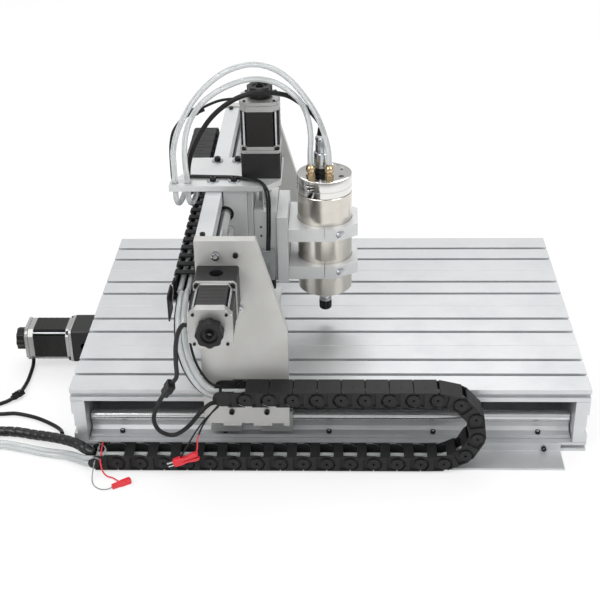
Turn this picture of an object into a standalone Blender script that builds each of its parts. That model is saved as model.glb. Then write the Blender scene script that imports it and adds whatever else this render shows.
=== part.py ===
"""Bench-top CNC router: slotted worktable, travelling gantry, water-cooled spindle, cable chains and cords.

Sizes are in millimetres and become metres when a mesh is made. The drawing frame has its origin at the
centre of the table's top face: +X along the table, +Y away from the chain side, +Z up. One empty moves the
whole machine so that the world origin is the centre of its footprint, on the surface that it stands on.
"""

import math

import bmesh
import bpy
from mathutils import Matrix, Vector

MM = 0.001
GAP = 0.3

# Worktable: four slotted planks on two end beams and two flat profiles.
TABLE_LENGTH = 735.0
PLANK_WIDTH = 120.0
PLANK_THICKNESS = 20.0
PLANK_COUNT = 4
SLOT_PITCH = 40.0
SLOT_MOUTH = 6.6
SLOT_LIP = 3.0
SLOT_HEAD = 13.0
SLOT_DEPTH = 8.6
SIDE_SLOT_DEPTH = 5.0
BEAM_THICKNESS = 20.0
BEAM_HEIGHT = 69.0
PROFILE_THICKNESS = 15.0
PROFILE_WIDTH = 120.0

# Long rails under the table, with their bearings and the long screw.
RAIL_BASE_WIDTH = 40.0
RAIL_BASE_THICKNESS = 5.0
RAIL_SHAFT_RADIUS = 8.0
RAIL_CENTRE_HEIGHT = 25.0
RAIL_INSET = 30.0
RAIL_END_SPACE = 2.0
RAIL_SCREW_PITCH = 150.0
BEARING_LENGTH = 45.0
BEARING_WIDTH = 45.0
BEARING_TOP_HEIGHT = 45.0
BEARING_HEIGHT = 33.0
BEARING_SPACE = 28.0
LONG_SCREW_DROP = 59.4
SCREW_RADIUS = 8.0

# Gantry, with its place on the table when the machine is at rest.
GANTRY_X = -111.0
GANTRY_FOOT = 118.0
SIDE_THICKNESS = 15.0
SIDE_CLEARANCE = 4.0
SIDE_SCREW_HEAD = 5.0
SIDE_TOP = 242.3
SIDE_TOP_WIDTH = 80.0
SIDE_BEND_HEIGHT = 105.0
SIDE_FOOT_DROP = 48.8
CROSS_PLATE_THICKNESS = 13.7
CHANNEL_TOP = 239.3
CHANNEL_FLANGE_WIDTH = 23.0
CHANNEL_FLANGE_THICKNESS = 20.0
CHANNEL_WEB = 6.0
CHANNEL_FLOOR_WIDTH = 56.0
CHANNEL_FLOOR_THICKNESS = 12.0
CHANNEL_FLOOR_TOP = 128.0
CROSS_SCREW_X = -144.0
CROSS_SCREW_Z = 178.5
CROSS_ROD_X = -147.5
CROSS_ROD_HEIGHTS = (204.0, 149.0)
CROSS_ROD_RADIUS = 8.0

# Cross carriage and the upright axis.
CARRIAGE_Y = -43.5
CARRIAGE_BLOCK_LENGTH = 86.0
CARRIAGE_BLOCK_Y = -51.0
TOP_PLATE_BOTTOM = 240.0
TOP_PLATE_THICKNESS = 8.3
TOP_PLATE_FRONT = -97.0
TOP_PLATE_BACK = 8.0
TOP_PLATE_LEFT = -226.0
TOP_PLATE_RIGHT = -68.0
Z_AXIS_X = -96.0
Z_SCREW_RADIUS = 6.0
Z_ROD_RADIUS = 5.0
Z_ROD_X = -91.0
Z_ROD_SPREAD = 31.0
Z_PLATE_LEFT = -116.0
Z_PLATE_THICKNESS = 7.7
Z_PLATE_BOTTOM = 24.0
Z_FOOT_THICKNESS = 11.0
SLIDE_WIDTH = 85.0
SLIDE_BOTTOM = 92.0
SLIDE_TOP = 204.0
SLIDE_RIGHT = -75.3
MOUNT_PLATE_THICKNESS = 16.0
MOUNT_PLATE_BOTTOM = 91.0
MOUNT_PLATE_TOP = 197.0

# Spindle and its clamps.
SPINDLE_X = -6.4
SPINDLE_RADIUS = 40.0
SPINDLE_BOTTOM = 59.5
SPINDLE_CAP_BOTTOM = 220.0
SPINDLE_CAP_TOP = 246.0
CLAMP_BOTTOMS = (97.0, 157.5)
CLAMP_THICKNESS = 20.0
CLAMP_WIDTH = 97.0
CLAMP_RIGHT = 42.0
CLAMP_CHAMFER_LENGTH = 32.0
CLAMP_CHAMFER_DEPTH = 22.0
CLAMP_SPLIT = 1.2
NOSE_RADIUS = 7.5
NUT_RADIUS = 9.5
NUT_BOTTOM = 22.0
NUT_TOP = 41.0

# Stepper motors, their mounts and hand knobs: the same on all three axes.
MOTOR_SIDE = 56.4
MOTOR_FLANGE = 10.0
MOTOR_BODY = 52.0
MOTOR_CAP = 14.0
MOUNT_SIDE = 56.0
MOUNT_BORE = 20.0
MOUNT_LENGTH = 42.0
UPRIGHT_MOUNT_LENGTH = 38.0
KNOB_RADIUS = 17.0
KNOB_LENGTH = 17.0
KNOB_LOBES = 8
COUPLING_RADIUS = 12.0
COUPLING_LENGTH = 28.0

# Cable chains.
CHAIN_PITCH = 33.3
CHAIN_HEIGHT = 24.0
CHAIN_BEND = 53.5
CHAIN_WIDTH = 35.5
CHAIN_SPACE = 0.5
CHAIN_BEND_X = 153.0
CHAIN_FIXED_LINKS = 12
LINK_CUT = 4.3
CHAIN_INSET = 37.5
TRAY_RIGHT_END = 331.0
TRAY_DEPTH = 46.0
TRAY_WALL = 3.0
CROSS_CHAIN_PITCH = 26.0
CROSS_CHAIN_INSET = 38.6
CROSS_CHAIN_BEND = 46.0
CROSS_CHAIN_LEFT = -216.0
CROSS_CHAIN_RIGHT = -180.0
CROSS_CHAIN_TOP = 227.4
CROSS_CHAIN_BEND_Y = 147.0
CROSS_CHAIN_FIXED_LINKS = 10

# Heights and half widths that follow from the sizes above.
HALF_LENGTH = TABLE_LENGTH / 2
HALF_WIDTH = PLANK_WIDTH * PLANK_COUNT / 2
BEAM_BOTTOM = -PLANK_THICKNESS - BEAM_HEIGHT
FLOOR = BEAM_BOTTOM - PROFILE_THICKNESS
RAIL_Y = HALF_WIDTH - RAIL_INSET
RAIL_CENTRE_Z = BEAM_BOTTOM + RAIL_CENTRE_HEIGHT
BEARING_TOP = BEAM_BOTTOM + BEARING_TOP_HEIGHT
SIDE_INNER = HALF_WIDTH + SIDE_CLEARANCE
SIDE_OUTER = SIDE_INNER + SIDE_THICKNESS
LONG_SCREW_Z = -LONG_SCREW_DROP
CHAIN_FAR = -SIDE_OUTER - CHAIN_SPACE
CHAIN_NEAR = CHAIN_FAR - CHAIN_WIDTH
CHAIN_LEFT_END = -HALF_LENGTH + CHAIN_INSET
TOP_PLATE_TOP = TOP_PLATE_BOTTOM + TOP_PLATE_THICKNESS
MOTOR_LENGTH = MOTOR_FLANGE + MOTOR_BODY + MOTOR_CAP
CHANNEL_LEFT = GANTRY_X - GANTRY_FOOT / 2 - 4.0
CHANNEL_INNER = CHANNEL_LEFT + CHANNEL_FLANGE_WIDTH
CHAIN_LOW_Z = FLOOR + TRAY_WALL + GAP + CHAIN_HEIGHT / 2
CHAIN_HIGH_Z = CHAIN_LOW_Z + 2 * CHAIN_BEND
LEFT_END = -HALF_LENGTH - MOUNT_LENGTH - MOTOR_LENGTH - KNOB_LENGTH - 0.4
NEAR_END = -SIDE_OUTER - MOUNT_LENGTH - MOTOR_LENGTH - KNOB_LENGTH - 0.4
FAR_END = SIDE_OUTER + SIDE_SCREW_HEAD

PARTS = bpy.data.collections.new("cnc_router")
CUTTERS = bpy.data.collections.new("cutters")

COLOURS = {
    "anodised": ((0.58, 0.60, 0.61), 0.42, 0.85),
    "plate": ((0.50, 0.48, 0.45), 0.45, 0.85),
    "steel": ((0.62, 0.62, 0.63), 0.22, 1.0),
    "nickel": ((0.68, 0.65, 0.60), 0.20, 1.0),
    "black_metal": ((0.012, 0.011, 0.011), 0.40, 0.3),
    "cast": ((0.40, 0.40, 0.40), 0.45, 0.9),
    "black_plastic": ((0.02, 0.02, 0.021), 0.50, 0.0),
    "black_screw": ((0.015, 0.015, 0.015), 0.35, 0.6),
    "hose": ((0.68, 0.69, 0.68), 0.30, 0.0),
    "cable": ((0.012, 0.012, 0.012), 0.55, 0.0),
    "red_wire": ((0.70, 0.02, 0.03), 0.45, 0.0),
}


def clear_scene():
    """Removes what the scene holds."""
    for obj in list(bpy.data.objects):
        bpy.data.objects.remove(obj)


def material_for(name, finish):
    """A Principled material of its own for one sub-part."""
    colour, roughness, metallic = COLOURS[finish]
    material = bpy.data.materials.new(name)
    material.use_nodes = True
    shader = material.node_tree.nodes["Principled BSDF"]
    shader.inputs["Base Color"].default_value = (*colour, 1.0)
    shader.inputs["Roughness"].default_value = roughness
    shader.inputs["Metallic"].default_value = metallic
    return material


def circle(centre, radius, sides=24):
    """Points round a circle, for an outline or for a hole in one."""
    step = 2 * math.pi / sides
    return [
        (centre[0] + radius * math.cos(i * step), centre[1] + radius * math.sin(i * step))
        for i in range(sides)
    ]


def rectangle(left, right, low, high):
    return [(left, low), (right, low), (right, high), (left, high)]


def mirrored(half):
    """An outline that is symmetrical about its first coordinate's zero, from its right half."""
    return half + [(-x, y) for x, y in reversed(half)]


AXIS_TURNS = {
    "X": Matrix(((0, 0, 1, 0), (1, 0, 0, 0), (0, 1, 0, 0), (0, 0, 0, 1))),
    "Y": Matrix(((1, 0, 0, 0), (0, 0, 1, 0), (0, 1, 0, 0), (0, 0, 0, 1))),
    "Z": Matrix.Identity(4),
}


def mesh_from_curve(curve):
    """The mesh that Blender makes of a curve, whose own object is then removed."""
    holder = bpy.data.objects.new(curve.name, curve)
    bpy.context.scene.collection.objects.link(holder)
    graph = bpy.context.evaluated_depsgraph_get()
    mesh = bpy.data.meshes.new_from_object(holder.evaluated_get(graph))
    bpy.data.objects.remove(holder)
    bpy.data.curves.remove(curve)
    return mesh


def outline_mesh(outline, holes, thickness):
    """A flat outline with holes, filled and thickened by a 2D curve."""
    curve = bpy.data.curves.new("outline", "CURVE")
    curve.dimensions = "2D"
    curve.fill_mode = "BOTH"
    curve.extrude = thickness / 2
    for loop in (outline, *holes):
        spline = curve.splines.new("POLY")
        spline.points.add(len(loop) - 1)
        spline.use_cyclic_u = True
        for point, (u, v) in zip(spline.points, loop):
            point.co = (u, v, 0.0, 1.0)
    return mesh_from_curve(curve)


class Body:
    """A rigid body: an empty on its joint's axis that its sub-parts are parented to."""

    def __init__(self, name, pivot, parent=None):
        self.pivot = Vector(pivot)
        self.empty = bpy.data.objects.new(name, None)
        PARTS.objects.link(self.empty)
        if parent:
            self.empty.parent = parent.empty
            self.empty.location = (self.pivot - parent.pivot) * MM
        else:
            self.empty.location = self.pivot * MM


class Part:
    """One named sub-part: its overlapping solids are joined, its cutters are taken away, in millimetres."""

    def __init__(self, name, body, finish):
        self.name = name
        self.body = body
        self.finish_name = finish
        self.solids = []
        self.cutters = []

    def box(self, low, high):
        low = Vector(low)
        high = Vector(high)
        place = Matrix.Translation((low + high) / 2) @ Matrix.Diagonal((*(high - low), 1.0))
        solid = bmesh.new()
        bmesh.ops.create_cube(solid, size=1.0, matrix=place)
        self.solids.append(solid)
        return self

    def cylinder(self, start, axis, length, radius, sides=24, end_radius=None):
        """A round bar from start along +axis, or a cone if the far end has its own radius."""
        place = Matrix.Translation(Vector(start)) @ AXIS_TURNS[axis]
        place = place @ Matrix.Translation((0, 0, length / 2))
        solid = bmesh.new()
        bmesh.ops.create_cone(
            solid,
            cap_ends=True,
            segments=sides,
            radius1=radius,
            radius2=radius if end_radius is None else end_radius,
            depth=length,
            matrix=place,
        )
        self.solids.append(solid)
        return self

    def ball(self, centre, radius, rings=8):
        solid = bmesh.new()
        bmesh.ops.create_uvsphere(
            solid,
            u_segments=2 * rings,
            v_segments=rings,
            radius=radius,
            matrix=Matrix.Translation(Vector(centre)),
        )
        self.solids.append(solid)
        return self

    def prism(self, outline, axis, low, high, holes=()):
        """An outline in the plane across the axis, from low to high along it."""
        mesh = outline_mesh(outline, holes, high - low)
        mesh.transform(AXIS_TURNS[axis] @ Matrix.Translation((0, 0, (low + high) / 2)))
        solid = bmesh.new()
        solid.from_mesh(mesh)
        bpy.data.meshes.remove(mesh)
        self.solids.append(solid)
        return self

    def tube(self, diameter, points):
        """A round tube along the points."""
        curve = bpy.data.curves.new("tube", "CURVE")
        curve.dimensions = "3D"
        curve.bevel_depth = diameter / 2
        curve.bevel_resolution = 2
        curve.use_fill_caps = True
        spline = curve.splines.new("POLY")
        spline.points.add(len(points) - 1)
        for slot, point in zip(spline.points, points):
            slot.co = (*point, 1.0)
        mesh = mesh_from_curve(curve)
        solid = bmesh.new()
        solid.from_mesh(mesh)
        bpy.data.meshes.remove(mesh)
        self.solids.append(solid)
        return self

    def ring(self, centre, major, minor):
        """A coil's outer shape: a turned ring that lies flat."""
        bpy.ops.mesh.primitive_torus_add(
            major_segments=40,
            minor_segments=12,
            major_radius=major,
            minor_radius=minor,
            location=(0, 0, 0),
        )
        holder = bpy.context.object
        mesh = holder.data
        mesh.transform(Matrix.Translation(Vector(centre)))
        solid = bmesh.new()
        solid.from_mesh(mesh)
        bpy.data.objects.remove(holder)
        bpy.data.meshes.remove(mesh)
        self.solids.append(solid)
        return self

    def cut_cylinder(self, start, axis, length, radius, sides=24):
        """A round cut made by a Boolean."""
        cutter = Part(f"{self.name}_cutter", self.body, self.finish_name)
        cutter.cylinder(start, axis, length, radius, sides)
        self.cutters.append(cutter.solids[0])
        return self

    def cut_box(self, low, high):
        """A square cut made by a Boolean."""
        cutter = Part(f"{self.name}_cutter", self.body, self.finish_name)
        cutter.box(low, high)
        self.cutters.append(cutter.solids[0])
        return self

    def make_object(self, name, solid, collection):
        bmesh.ops.remove_doubles(solid, verts=solid.verts, dist=0.0005)
        bmesh.ops.recalc_face_normals(solid, faces=solid.faces)
        mesh = bpy.data.meshes.new(name)
        solid.to_mesh(mesh)
        solid.free()
        mesh.transform(Matrix.Scale(MM, 4) @ Matrix.Translation(-self.body.pivot))
        mesh.shade_smooth()
        mesh.set_sharp_from_angle(angle=math.radians(35))
        obj = bpy.data.objects.new(name, mesh)
        collection.objects.link(obj)
        obj.parent = self.body.empty
        return obj

    def done(self):
        obj = self.make_object(self.name, self.solids[0], PARTS)
        obj.data.materials.append(material_for(self.name, self.finish_name))
        tools = [("UNION", solid) for solid in self.solids[1:]]
        tools += [("DIFFERENCE", solid) for solid in self.cutters]
        for index, (operation, solid) in enumerate(tools):
            tool = self.make_object(f"{self.name}_tool_{index + 1}", solid, CUTTERS)
            tool.hide_render = True
            tool.display_type = "WIRE"
            change = obj.modifiers.new(tool.name, "BOOLEAN")
            change.operation = operation
            change.solver = "EXACT"
            change.object = tool
        return obj


def smooth_route(route, spacing):
    """Points at an even spacing on a smooth curve through the route's own points."""
    points = [Vector(p) for p in route]
    points = [2 * points[0] - points[1], *points, 2 * points[-1] - points[-2]]
    dense = []
    for a, b, c, d in zip(points, points[1:], points[2:], points[3:]):
        for step in range(24):
            t = step / 24
            dense.append(
                0.5 * (2 * b + (c - a) * t + (2 * a - 5 * b + 4 * c - d) * t**2
                       + (3 * b - a - 3 * c + d) * t**3)
            )
    dense.append(points[-2])
    total = sum((b - a).length for a, b in zip(dense, dense[1:]))
    count = max(2, round(total / spacing))
    even = [dense[0]]
    walked = 0.0
    for a, b in zip(dense, dense[1:]):
        length = (b - a).length
        while len(even) < count and walked + length >= len(even) * total / count:
            share = (len(even) * total / count - walked) / length
            even.append(a.lerp(b, share))
        walked += length
    even.append(dense[-1])
    return even


def cord(name, body, finish, strand, plug=None, shift=(0, 0, 0)):
    """One curve object for a cord. A plug on it is a stretch of greater diameter."""
    diameter, route = strand
    points = [p + Vector(shift) for p in smooth_route(route, 2.2 * diameter)]
    if plug:
        plug = (plug[0], Vector(plug[1]) + Vector(shift), plug[2])
    curve = bpy.data.curves.new(name, "CURVE")
    curve.dimensions = "3D"
    curve.bevel_depth = diameter / 2 * MM
    curve.bevel_resolution = 2
    curve.use_fill_caps = True
    spline = curve.splines.new("POLY")
    spline.points.add(len(points) - 1)
    for slot, point in zip(spline.points, points):
        slot.co = (*((point - body.pivot) * MM), 1.0)
        if plug and (point - Vector(plug[1])).length < plug[2]:
            slot.radius = plug[0] / diameter
    obj = bpy.data.objects.new(name, curve)
    PARTS.objects.link(obj)
    obj.parent = body.empty
    curve.materials.append(material_for(name, finish))
    return obj


# Profiles that several sub-parts share.


def t_slot(centre, face, inward):
    """The points of one T-slot, from its left side to its right."""
    mouth = SLOT_MOUTH / 2
    head = SLOT_HEAD / 2
    lip = face + inward * SLOT_LIP
    deep = face + inward * SLOT_DEPTH
    left = [(-mouth, face), (-mouth, lip), (-head, lip), (-head, deep)]
    right = [(-u, v) for u, v in reversed(left)]
    return [(centre + u, v) for u, v in left + right]


def table_outline():
    """The table's section: T-slots above and below in each plank, a fine joint between planks."""
    lower = []
    upper = []
    for index in range(PLANK_COUNT):
        centre = -HALF_WIDTH + PLANK_WIDTH * (index + 0.5)
        if index:
            joint = centre - PLANK_WIDTH / 2
            lower += [(joint - 0.5, -PLANK_THICKNESS), (joint, 1 - PLANK_THICKNESS)]
            lower += [(joint + 0.5, -PLANK_THICKNESS)]
            upper += [(joint - 0.5, 0), (joint, -1), (joint + 0.5, 0)]
        for offset in (-SLOT_PITCH, 0, SLOT_PITCH):
            lower += t_slot(centre + offset, -PLANK_THICKNESS, 1)
        for offset in (-SLOT_PITCH / 2, SLOT_PITCH / 2):
            upper += t_slot(centre + offset, 0, -1)
    middle = -PLANK_THICKNESS / 2
    groove = SLOT_MOUTH / 2
    side = [
        (HALF_WIDTH, -PLANK_THICKNESS),
        (HALF_WIDTH, middle - groove),
        (HALF_WIDTH - SIDE_SLOT_DEPTH, middle - groove),
        (HALF_WIDTH - SIDE_SLOT_DEPTH, middle + groove),
        (HALF_WIDTH, middle + groove),
        (HALF_WIDTH, 0),
    ]
    left = [(-u, v) for u, v in reversed(side)]
    return lower + side + list(reversed(upper)) + left


def knob_outline(centre):
    """A round grip with shallow lobes."""
    sides = 6 * KNOB_LOBES
    points = []
    for i in range(sides):
        angle = 2 * math.pi * i / sides
        radius = KNOB_RADIUS - 1.2 + 1.2 * math.cos(KNOB_LOBES * angle)
        points.append((centre[0] + radius * math.cos(angle), centre[1] + radius * math.sin(angle)))
    return points


def square_outline(centre, side, corner):
    """A square with its corners cut off."""
    half = side / 2
    quarter = [(half, half - corner), (half - corner, half)]
    turned = []
    for turn in range(4):
        for u, v in quarter:
            for _ in range(turn):
                u, v = -v, u
            turned.append((centre[0] + u, centre[1] + v))
    return turned


def motor(part, axis, centre, face, away):
    """Flange with its screws, laminated body and rear cap of a stepper, from the mount's face outwards."""
    rear = face + away * MOTOR_LENGTH
    part.prism(
        square_outline(centre, MOTOR_SIDE - 0.8, 9.0), axis,
        min(face, rear) + 1.0, max(face, rear) - 1.0,
    )
    cap_end = rear - away * GAP
    flange_end = face + away * MOTOR_FLANGE
    for ends, corner in (((face, flange_end), 3.0), ((rear - away * MOTOR_CAP, cap_end), 6.0)):
        part.prism(square_outline(centre, MOTOR_SIDE, corner), axis, min(ends), max(ends))
    for across in (-1, 1):
        for up in (-1, 1):
            place = (centre[0] + across * 24.0, centre[1] + up * 24.0)
            screw_head(part, place, axis, flange_end, away, 3.0, 4.0)
    return rear


def drive(screw, knob, axis, centre, ends, radius, middle, away, rear):
    """Screw, shaft coupling and the hand knob on the motor's rear shaft, all on one axis."""

    def at(place):
        return {"X": (place, *centre), "Y": (centre[0], place, centre[1]), "Z": (*centre, place)}[axis]

    reach = 5.0 * away
    tip = (min(ends[0], ends[0] + reach), max(ends[1], ends[1] + reach))
    screw.cylinder(at(tip[0]), axis, tip[1] - tip[0], radius, 24)
    screw.cylinder(at(middle - COUPLING_LENGTH / 2), axis, COUPLING_LENGTH, COUPLING_RADIUS, 24)
    knob_start = rear + away * 0.4
    knob_end = knob_start + away * KNOB_LENGTH
    knob.prism(knob_outline(centre), axis, min(knob_start, knob_end), max(knob_start, knob_end))


def chain_run(part, axis, near, far, pins, height):
    """A run of closed links as one solid, notched on both sides at every pin between two links."""
    sides = ([], [])
    links = list(zip(pins, pins[1:]))
    for index, (a, b) in enumerate(links):
        length = math.hypot(b[0] - a[0], b[1] - a[1])
        along = ((b[0] - a[0]) / length, (b[1] - a[1]) / length)
        for points, side in zip(sides, (1, -1)):
            across = (-along[1] * side * height / 2, along[0] * side * height / 2)
            first = 0.4 if index == 0 else LINK_CUT
            last = 0.4 if index == len(links) - 1 else LINK_CUT
            if index:
                points.append((a[0] + across[0] * 0.3, a[1] + across[1] * 0.3))
            points.append((a[0] + along[0] * first + across[0], a[1] + along[1] * first + across[1]))
            points.append((b[0] - along[0] * last + across[0], b[1] - along[1] * last + across[1]))
    part.prism(sides[0] + list(reversed(sides[1])), axis, near, far)


def chain_pins(start, bend, low, high, end, pitch):
    """Pins from the fixed end along the lower run, round the bend and back along the upper run."""
    radius = (high - low) / 2
    straight = bend - start
    arc = math.pi * radius
    total = straight + arc + (bend - end)
    count = round(total / pitch)
    pins = []
    for i in range(count + 1):
        run = i * total / count
        if run <= straight:
            pins.append((start + run, low))
        elif run <= straight + arc:
            angle = (run - straight) / radius
            pins.append((bend + radius * math.sin(angle), low + radius - radius * math.cos(angle)))
        else:
            pins.append((bend - (run - straight - arc), high))
    return pins


def screw_head(part, centre, axis, seat, out, radius=4.0, head=4.5):
    """A socket head joined to what it holds: it starts 1 mm inside."""
    start = seat - 1.0 if out > 0 else seat + 1.0 - head - 1.0
    place = {
        "X": (start, *centre),
        "Y": (centre[0], start, centre[1]),
        "Z": (*centre, start),
    }[axis]
    part.cylinder(place, axis, head + 1.0, radius, 12)


# Worktable


def build_worktable(root):
    table = Part("worktable", root, "anodised")
    table.prism(table_outline(), "X", -HALF_LENGTH, HALF_LENGTH)
    table.done()


def build_end_beams(root):
    """Each end beam has a shallow stepped recess along its outer face."""
    top = -PLANK_THICKNESS - GAP
    bottom = BEAM_BOTTOM
    for name, side in (("end_beam_left", -1), ("end_beam_right", 1)):
        outer = side * HALF_LENGTH
        inner = outer - side * BEAM_THICKNESS
        recess = outer - side * 5.0
        step = outer - side * 2.5
        outline = [
            (inner, bottom),
            (outer, bottom),
            (outer, bottom + 13.0),
            (recess, bottom + 13.0),
            (recess, bottom + 25.0),
            (step, bottom + 25.0),
            (step, bottom + 47.0),
            (outer, bottom + 47.0),
            (outer, top),
            (inner, top),
        ]
        beam = Part(name, root, "anodised")
        beam.prism(outline, "Y", -HALF_WIDTH, HALF_WIDTH)
        hole_start = (min(inner, outer) - 1, 0, LONG_SCREW_Z)
        beam.cut_cylinder(hole_start, "X", BEAM_THICKNESS + 2, SCREW_RADIUS + GAP)
        beam.done()


def build_base_profiles(root):
    """Flat profiles that the machine stands on, with a slot along the outer edge."""
    top = BEAM_BOTTOM - GAP
    middle = (top + FLOOR) / 2
    for name, side in (("base_profile_near", -1), ("base_profile_far", 1)):
        outer = side * HALF_WIDTH
        inner = side * (HALF_WIDTH - PROFILE_WIDTH)
        deep = outer - side * 6.0
        outline = [
            (inner, FLOOR),
            (outer, FLOOR),
            (outer, middle - 3),
            (deep, middle - 3),
            (deep, middle + 3),
            (outer, middle + 3),
            (outer, top),
            (inner, top),
        ]
        profile = Part(name, root, "anodised")
        profile.prism(outline, "X", -HALF_LENGTH, HALF_LENGTH)
        profile.done()


def build_rails(root):
    """Round shafts screwed to aluminium supports, which stand on the base profiles."""
    half = HALF_LENGTH - BEAM_THICKNESS - RAIL_END_SPACE
    base = BEAM_BOTTOM + GAP
    seat = base + RAIL_BASE_THICKNESS
    support = [
        (RAIL_BASE_WIDTH / 2, base),
        (RAIL_BASE_WIDTH / 2, seat),
        (8.0, seat),
        (4.0, seat + 5.0),
        (4.0, RAIL_CENTRE_Z - RAIL_SHAFT_RADIUS + 1.0),
    ]
    count = int(half // RAIL_SCREW_PITCH)
    for name, side in (("rail_near", -1), ("rail_far", 1)):
        outline = [(side * RAIL_Y + u, v) for u, v in mirrored(support)]
        rail = Part(name, root, "steel")
        rail.prism(outline, "X", -half, half)
        rail.cylinder((-half, side * RAIL_Y, RAIL_CENTRE_Z), "X", 2 * half, RAIL_SHAFT_RADIUS, 24)
        for step in range(-count, count + 1):
            for across in (-14.5, 14.5):
                place = (step * RAIL_SCREW_PITCH, side * RAIL_Y + across)
                screw_head(rail, place, "Z", seat, 1, 3.6, 3.6)
        rail.done()


def build_chain_tray(root):
    """A light L-angle on the near base profile, which the long cable chain lies on."""
    near = -HALF_WIDTH - TRAY_DEPTH
    outline = [
        (-HALF_WIDTH - GAP, FLOOR),
        (-HALF_WIDTH - GAP, BEAM_BOTTOM + 1),
        (-HALF_WIDTH - TRAY_WALL, BEAM_BOTTOM + 1),
        (-HALF_WIDTH - TRAY_WALL, FLOOR + TRAY_WALL),
        (near, FLOOR + TRAY_WALL),
        (near, FLOOR),
    ]
    tray = Part("chain_tray", root, "anodised")
    tray.prism(outline, "X", CHAIN_LEFT_END, TRAY_RIGHT_END)
    for x in (-307.0, 0.0, TRAY_RIGHT_END - 24.0):
        screw_head(tray, (x, FLOOR + 7.2), "Y", -HALF_WIDTH - TRAY_WALL, -1, 2.8, 1.8)
    tray.done()


def build_mount(name, body, axis, centre, face, away, length, window):
    """A square motor mount, hollow round the coupling, with a round access hole through one wall."""
    far = face + away * (length - GAP)
    start = face + away * GAP
    mount = Part(name, body, "black_metal")
    hole = circle(centre, MOUNT_BORE, 32)
    outline = square_outline(centre, MOUNT_SIDE, 2.0)
    mount.prism(outline, axis, min(start, far), max(start, far), holes=(hole,))
    mount.cut_cylinder(*window)
    mount.done()


def build_long_drive(root, long_screw):
    face = -HALF_LENGTH
    centre = (0.0, LONG_SCREW_Z)
    middle = face - MOUNT_LENGTH / 2
    window = ((middle, -MOUNT_SIDE, LONG_SCREW_Z), "Y", MOUNT_SIDE, 8.0)
    build_mount("long_motor_mount", root, "X", centre, face, -1, MOUNT_LENGTH, window)
    stepper = Part("long_motor", root, "black_metal")
    rear = motor(stepper, "X", centre, face - MOUNT_LENGTH, -1)
    stepper.done()
    screw = Part("long_ball_screw", long_screw, "steel")
    knob = Part("long_hand_knob", long_screw, "black_plastic")
    ends = (middle + COUPLING_LENGTH / 2 + GAP, HALF_LENGTH - 5.5)
    drive(screw, knob, "X", centre, ends, SCREW_RADIUS, middle, -1, rear)
    screw.done()
    knob.done()


# Gantry


def side_outline():
    """The side plate is upright at its left edge and slants in towards the top on its right."""
    left = GANTRY_X - GANTRY_FOOT / 2 - 4.0
    right = GANTRY_X + GANTRY_FOOT / 2 - 2.5
    foot = -SIDE_FOOT_DROP
    return [
        (left, SIDE_TOP),
        (left, foot + 8),
        (left + 5, foot),
        (right, foot),
        (right, SIDE_BEND_HEIGHT),
        (left + SIDE_TOP_WIDTH, SIDE_TOP),
    ]


def build_gantry_frame(gantry):
    screw_hole = circle((CROSS_SCREW_X, CROSS_SCREW_Z), SCREW_RADIUS + GAP, 24)
    for name, out in (("gantry_side_near", -1), ("gantry_side_far", 1)):
        side = Part(name, gantry, "plate")
        ends = (out * SIDE_INNER, out * SIDE_OUTER)
        side.prism(side_outline(), "Y", min(ends), max(ends), holes=(screw_hole,))
        for share in (-0.36, 0.0, 0.36):
            x = GANTRY_X - 3 + share * GANTRY_FOOT
            low = (x - 8, min(ends) - 1, -SIDE_FOOT_DROP - 1)
            side.cut_box(low, (x + 8, max(ends) + 1, -SIDE_FOOT_DROP + 4.5))
        screw_head(side, (CROSS_SCREW_X - 2, 222.0), "Y", out * SIDE_OUTER, out, 5.5, SIDE_SCREW_HEAD)
        screw_head(side, (GANTRY_X - 6.2, 142.5), "Y", out * SIDE_OUTER, out, 4.0, 3.5)
        side.done()
    plate = Part("gantry_cross_plate", gantry, "anodised")
    low = BEARING_TOP + GAP
    plate.box(
        (GANTRY_X - GANTRY_FOOT / 2, -SIDE_INNER + GAP, low),
        (GANTRY_X + GANTRY_FOOT / 2 - 3, SIDE_INNER - GAP, low + CROSS_PLATE_THICKNESS),
    )
    plate.done()
    channel = Part("gantry_channel", gantry, "anodised")
    outline = [
        (CHANNEL_LEFT, CHANNEL_FLOOR_TOP - CHANNEL_FLOOR_THICKNESS),
        (CHANNEL_LEFT + CHANNEL_FLOOR_WIDTH, CHANNEL_FLOOR_TOP - CHANNEL_FLOOR_THICKNESS),
        (CHANNEL_LEFT + CHANNEL_FLOOR_WIDTH, CHANNEL_FLOOR_TOP),
        (CHANNEL_LEFT + CHANNEL_WEB, CHANNEL_FLOOR_TOP),
        (CHANNEL_LEFT + CHANNEL_WEB, CHANNEL_TOP - CHANNEL_FLANGE_THICKNESS),
        (CHANNEL_INNER, CHANNEL_TOP - CHANNEL_FLANGE_THICKNESS),
        (CHANNEL_INNER, CHANNEL_TOP),
        (CHANNEL_LEFT, CHANNEL_TOP),
    ]
    channel.prism(outline, "Y", -SIDE_INNER + GAP, SIDE_INNER - GAP)
    channel.done()
    length = 2 * (SIDE_INNER - GAP)
    for name, height in zip(("cross_rod_upper", "cross_rod_lower"), CROSS_ROD_HEIGHTS):
        rod = Part(name, gantry, "steel")
        start = (CROSS_ROD_X, -SIDE_INNER + GAP, height)
        rod.cylinder(start, "Y", length, CROSS_ROD_RADIUS, 24)
        rod.done()


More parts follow.
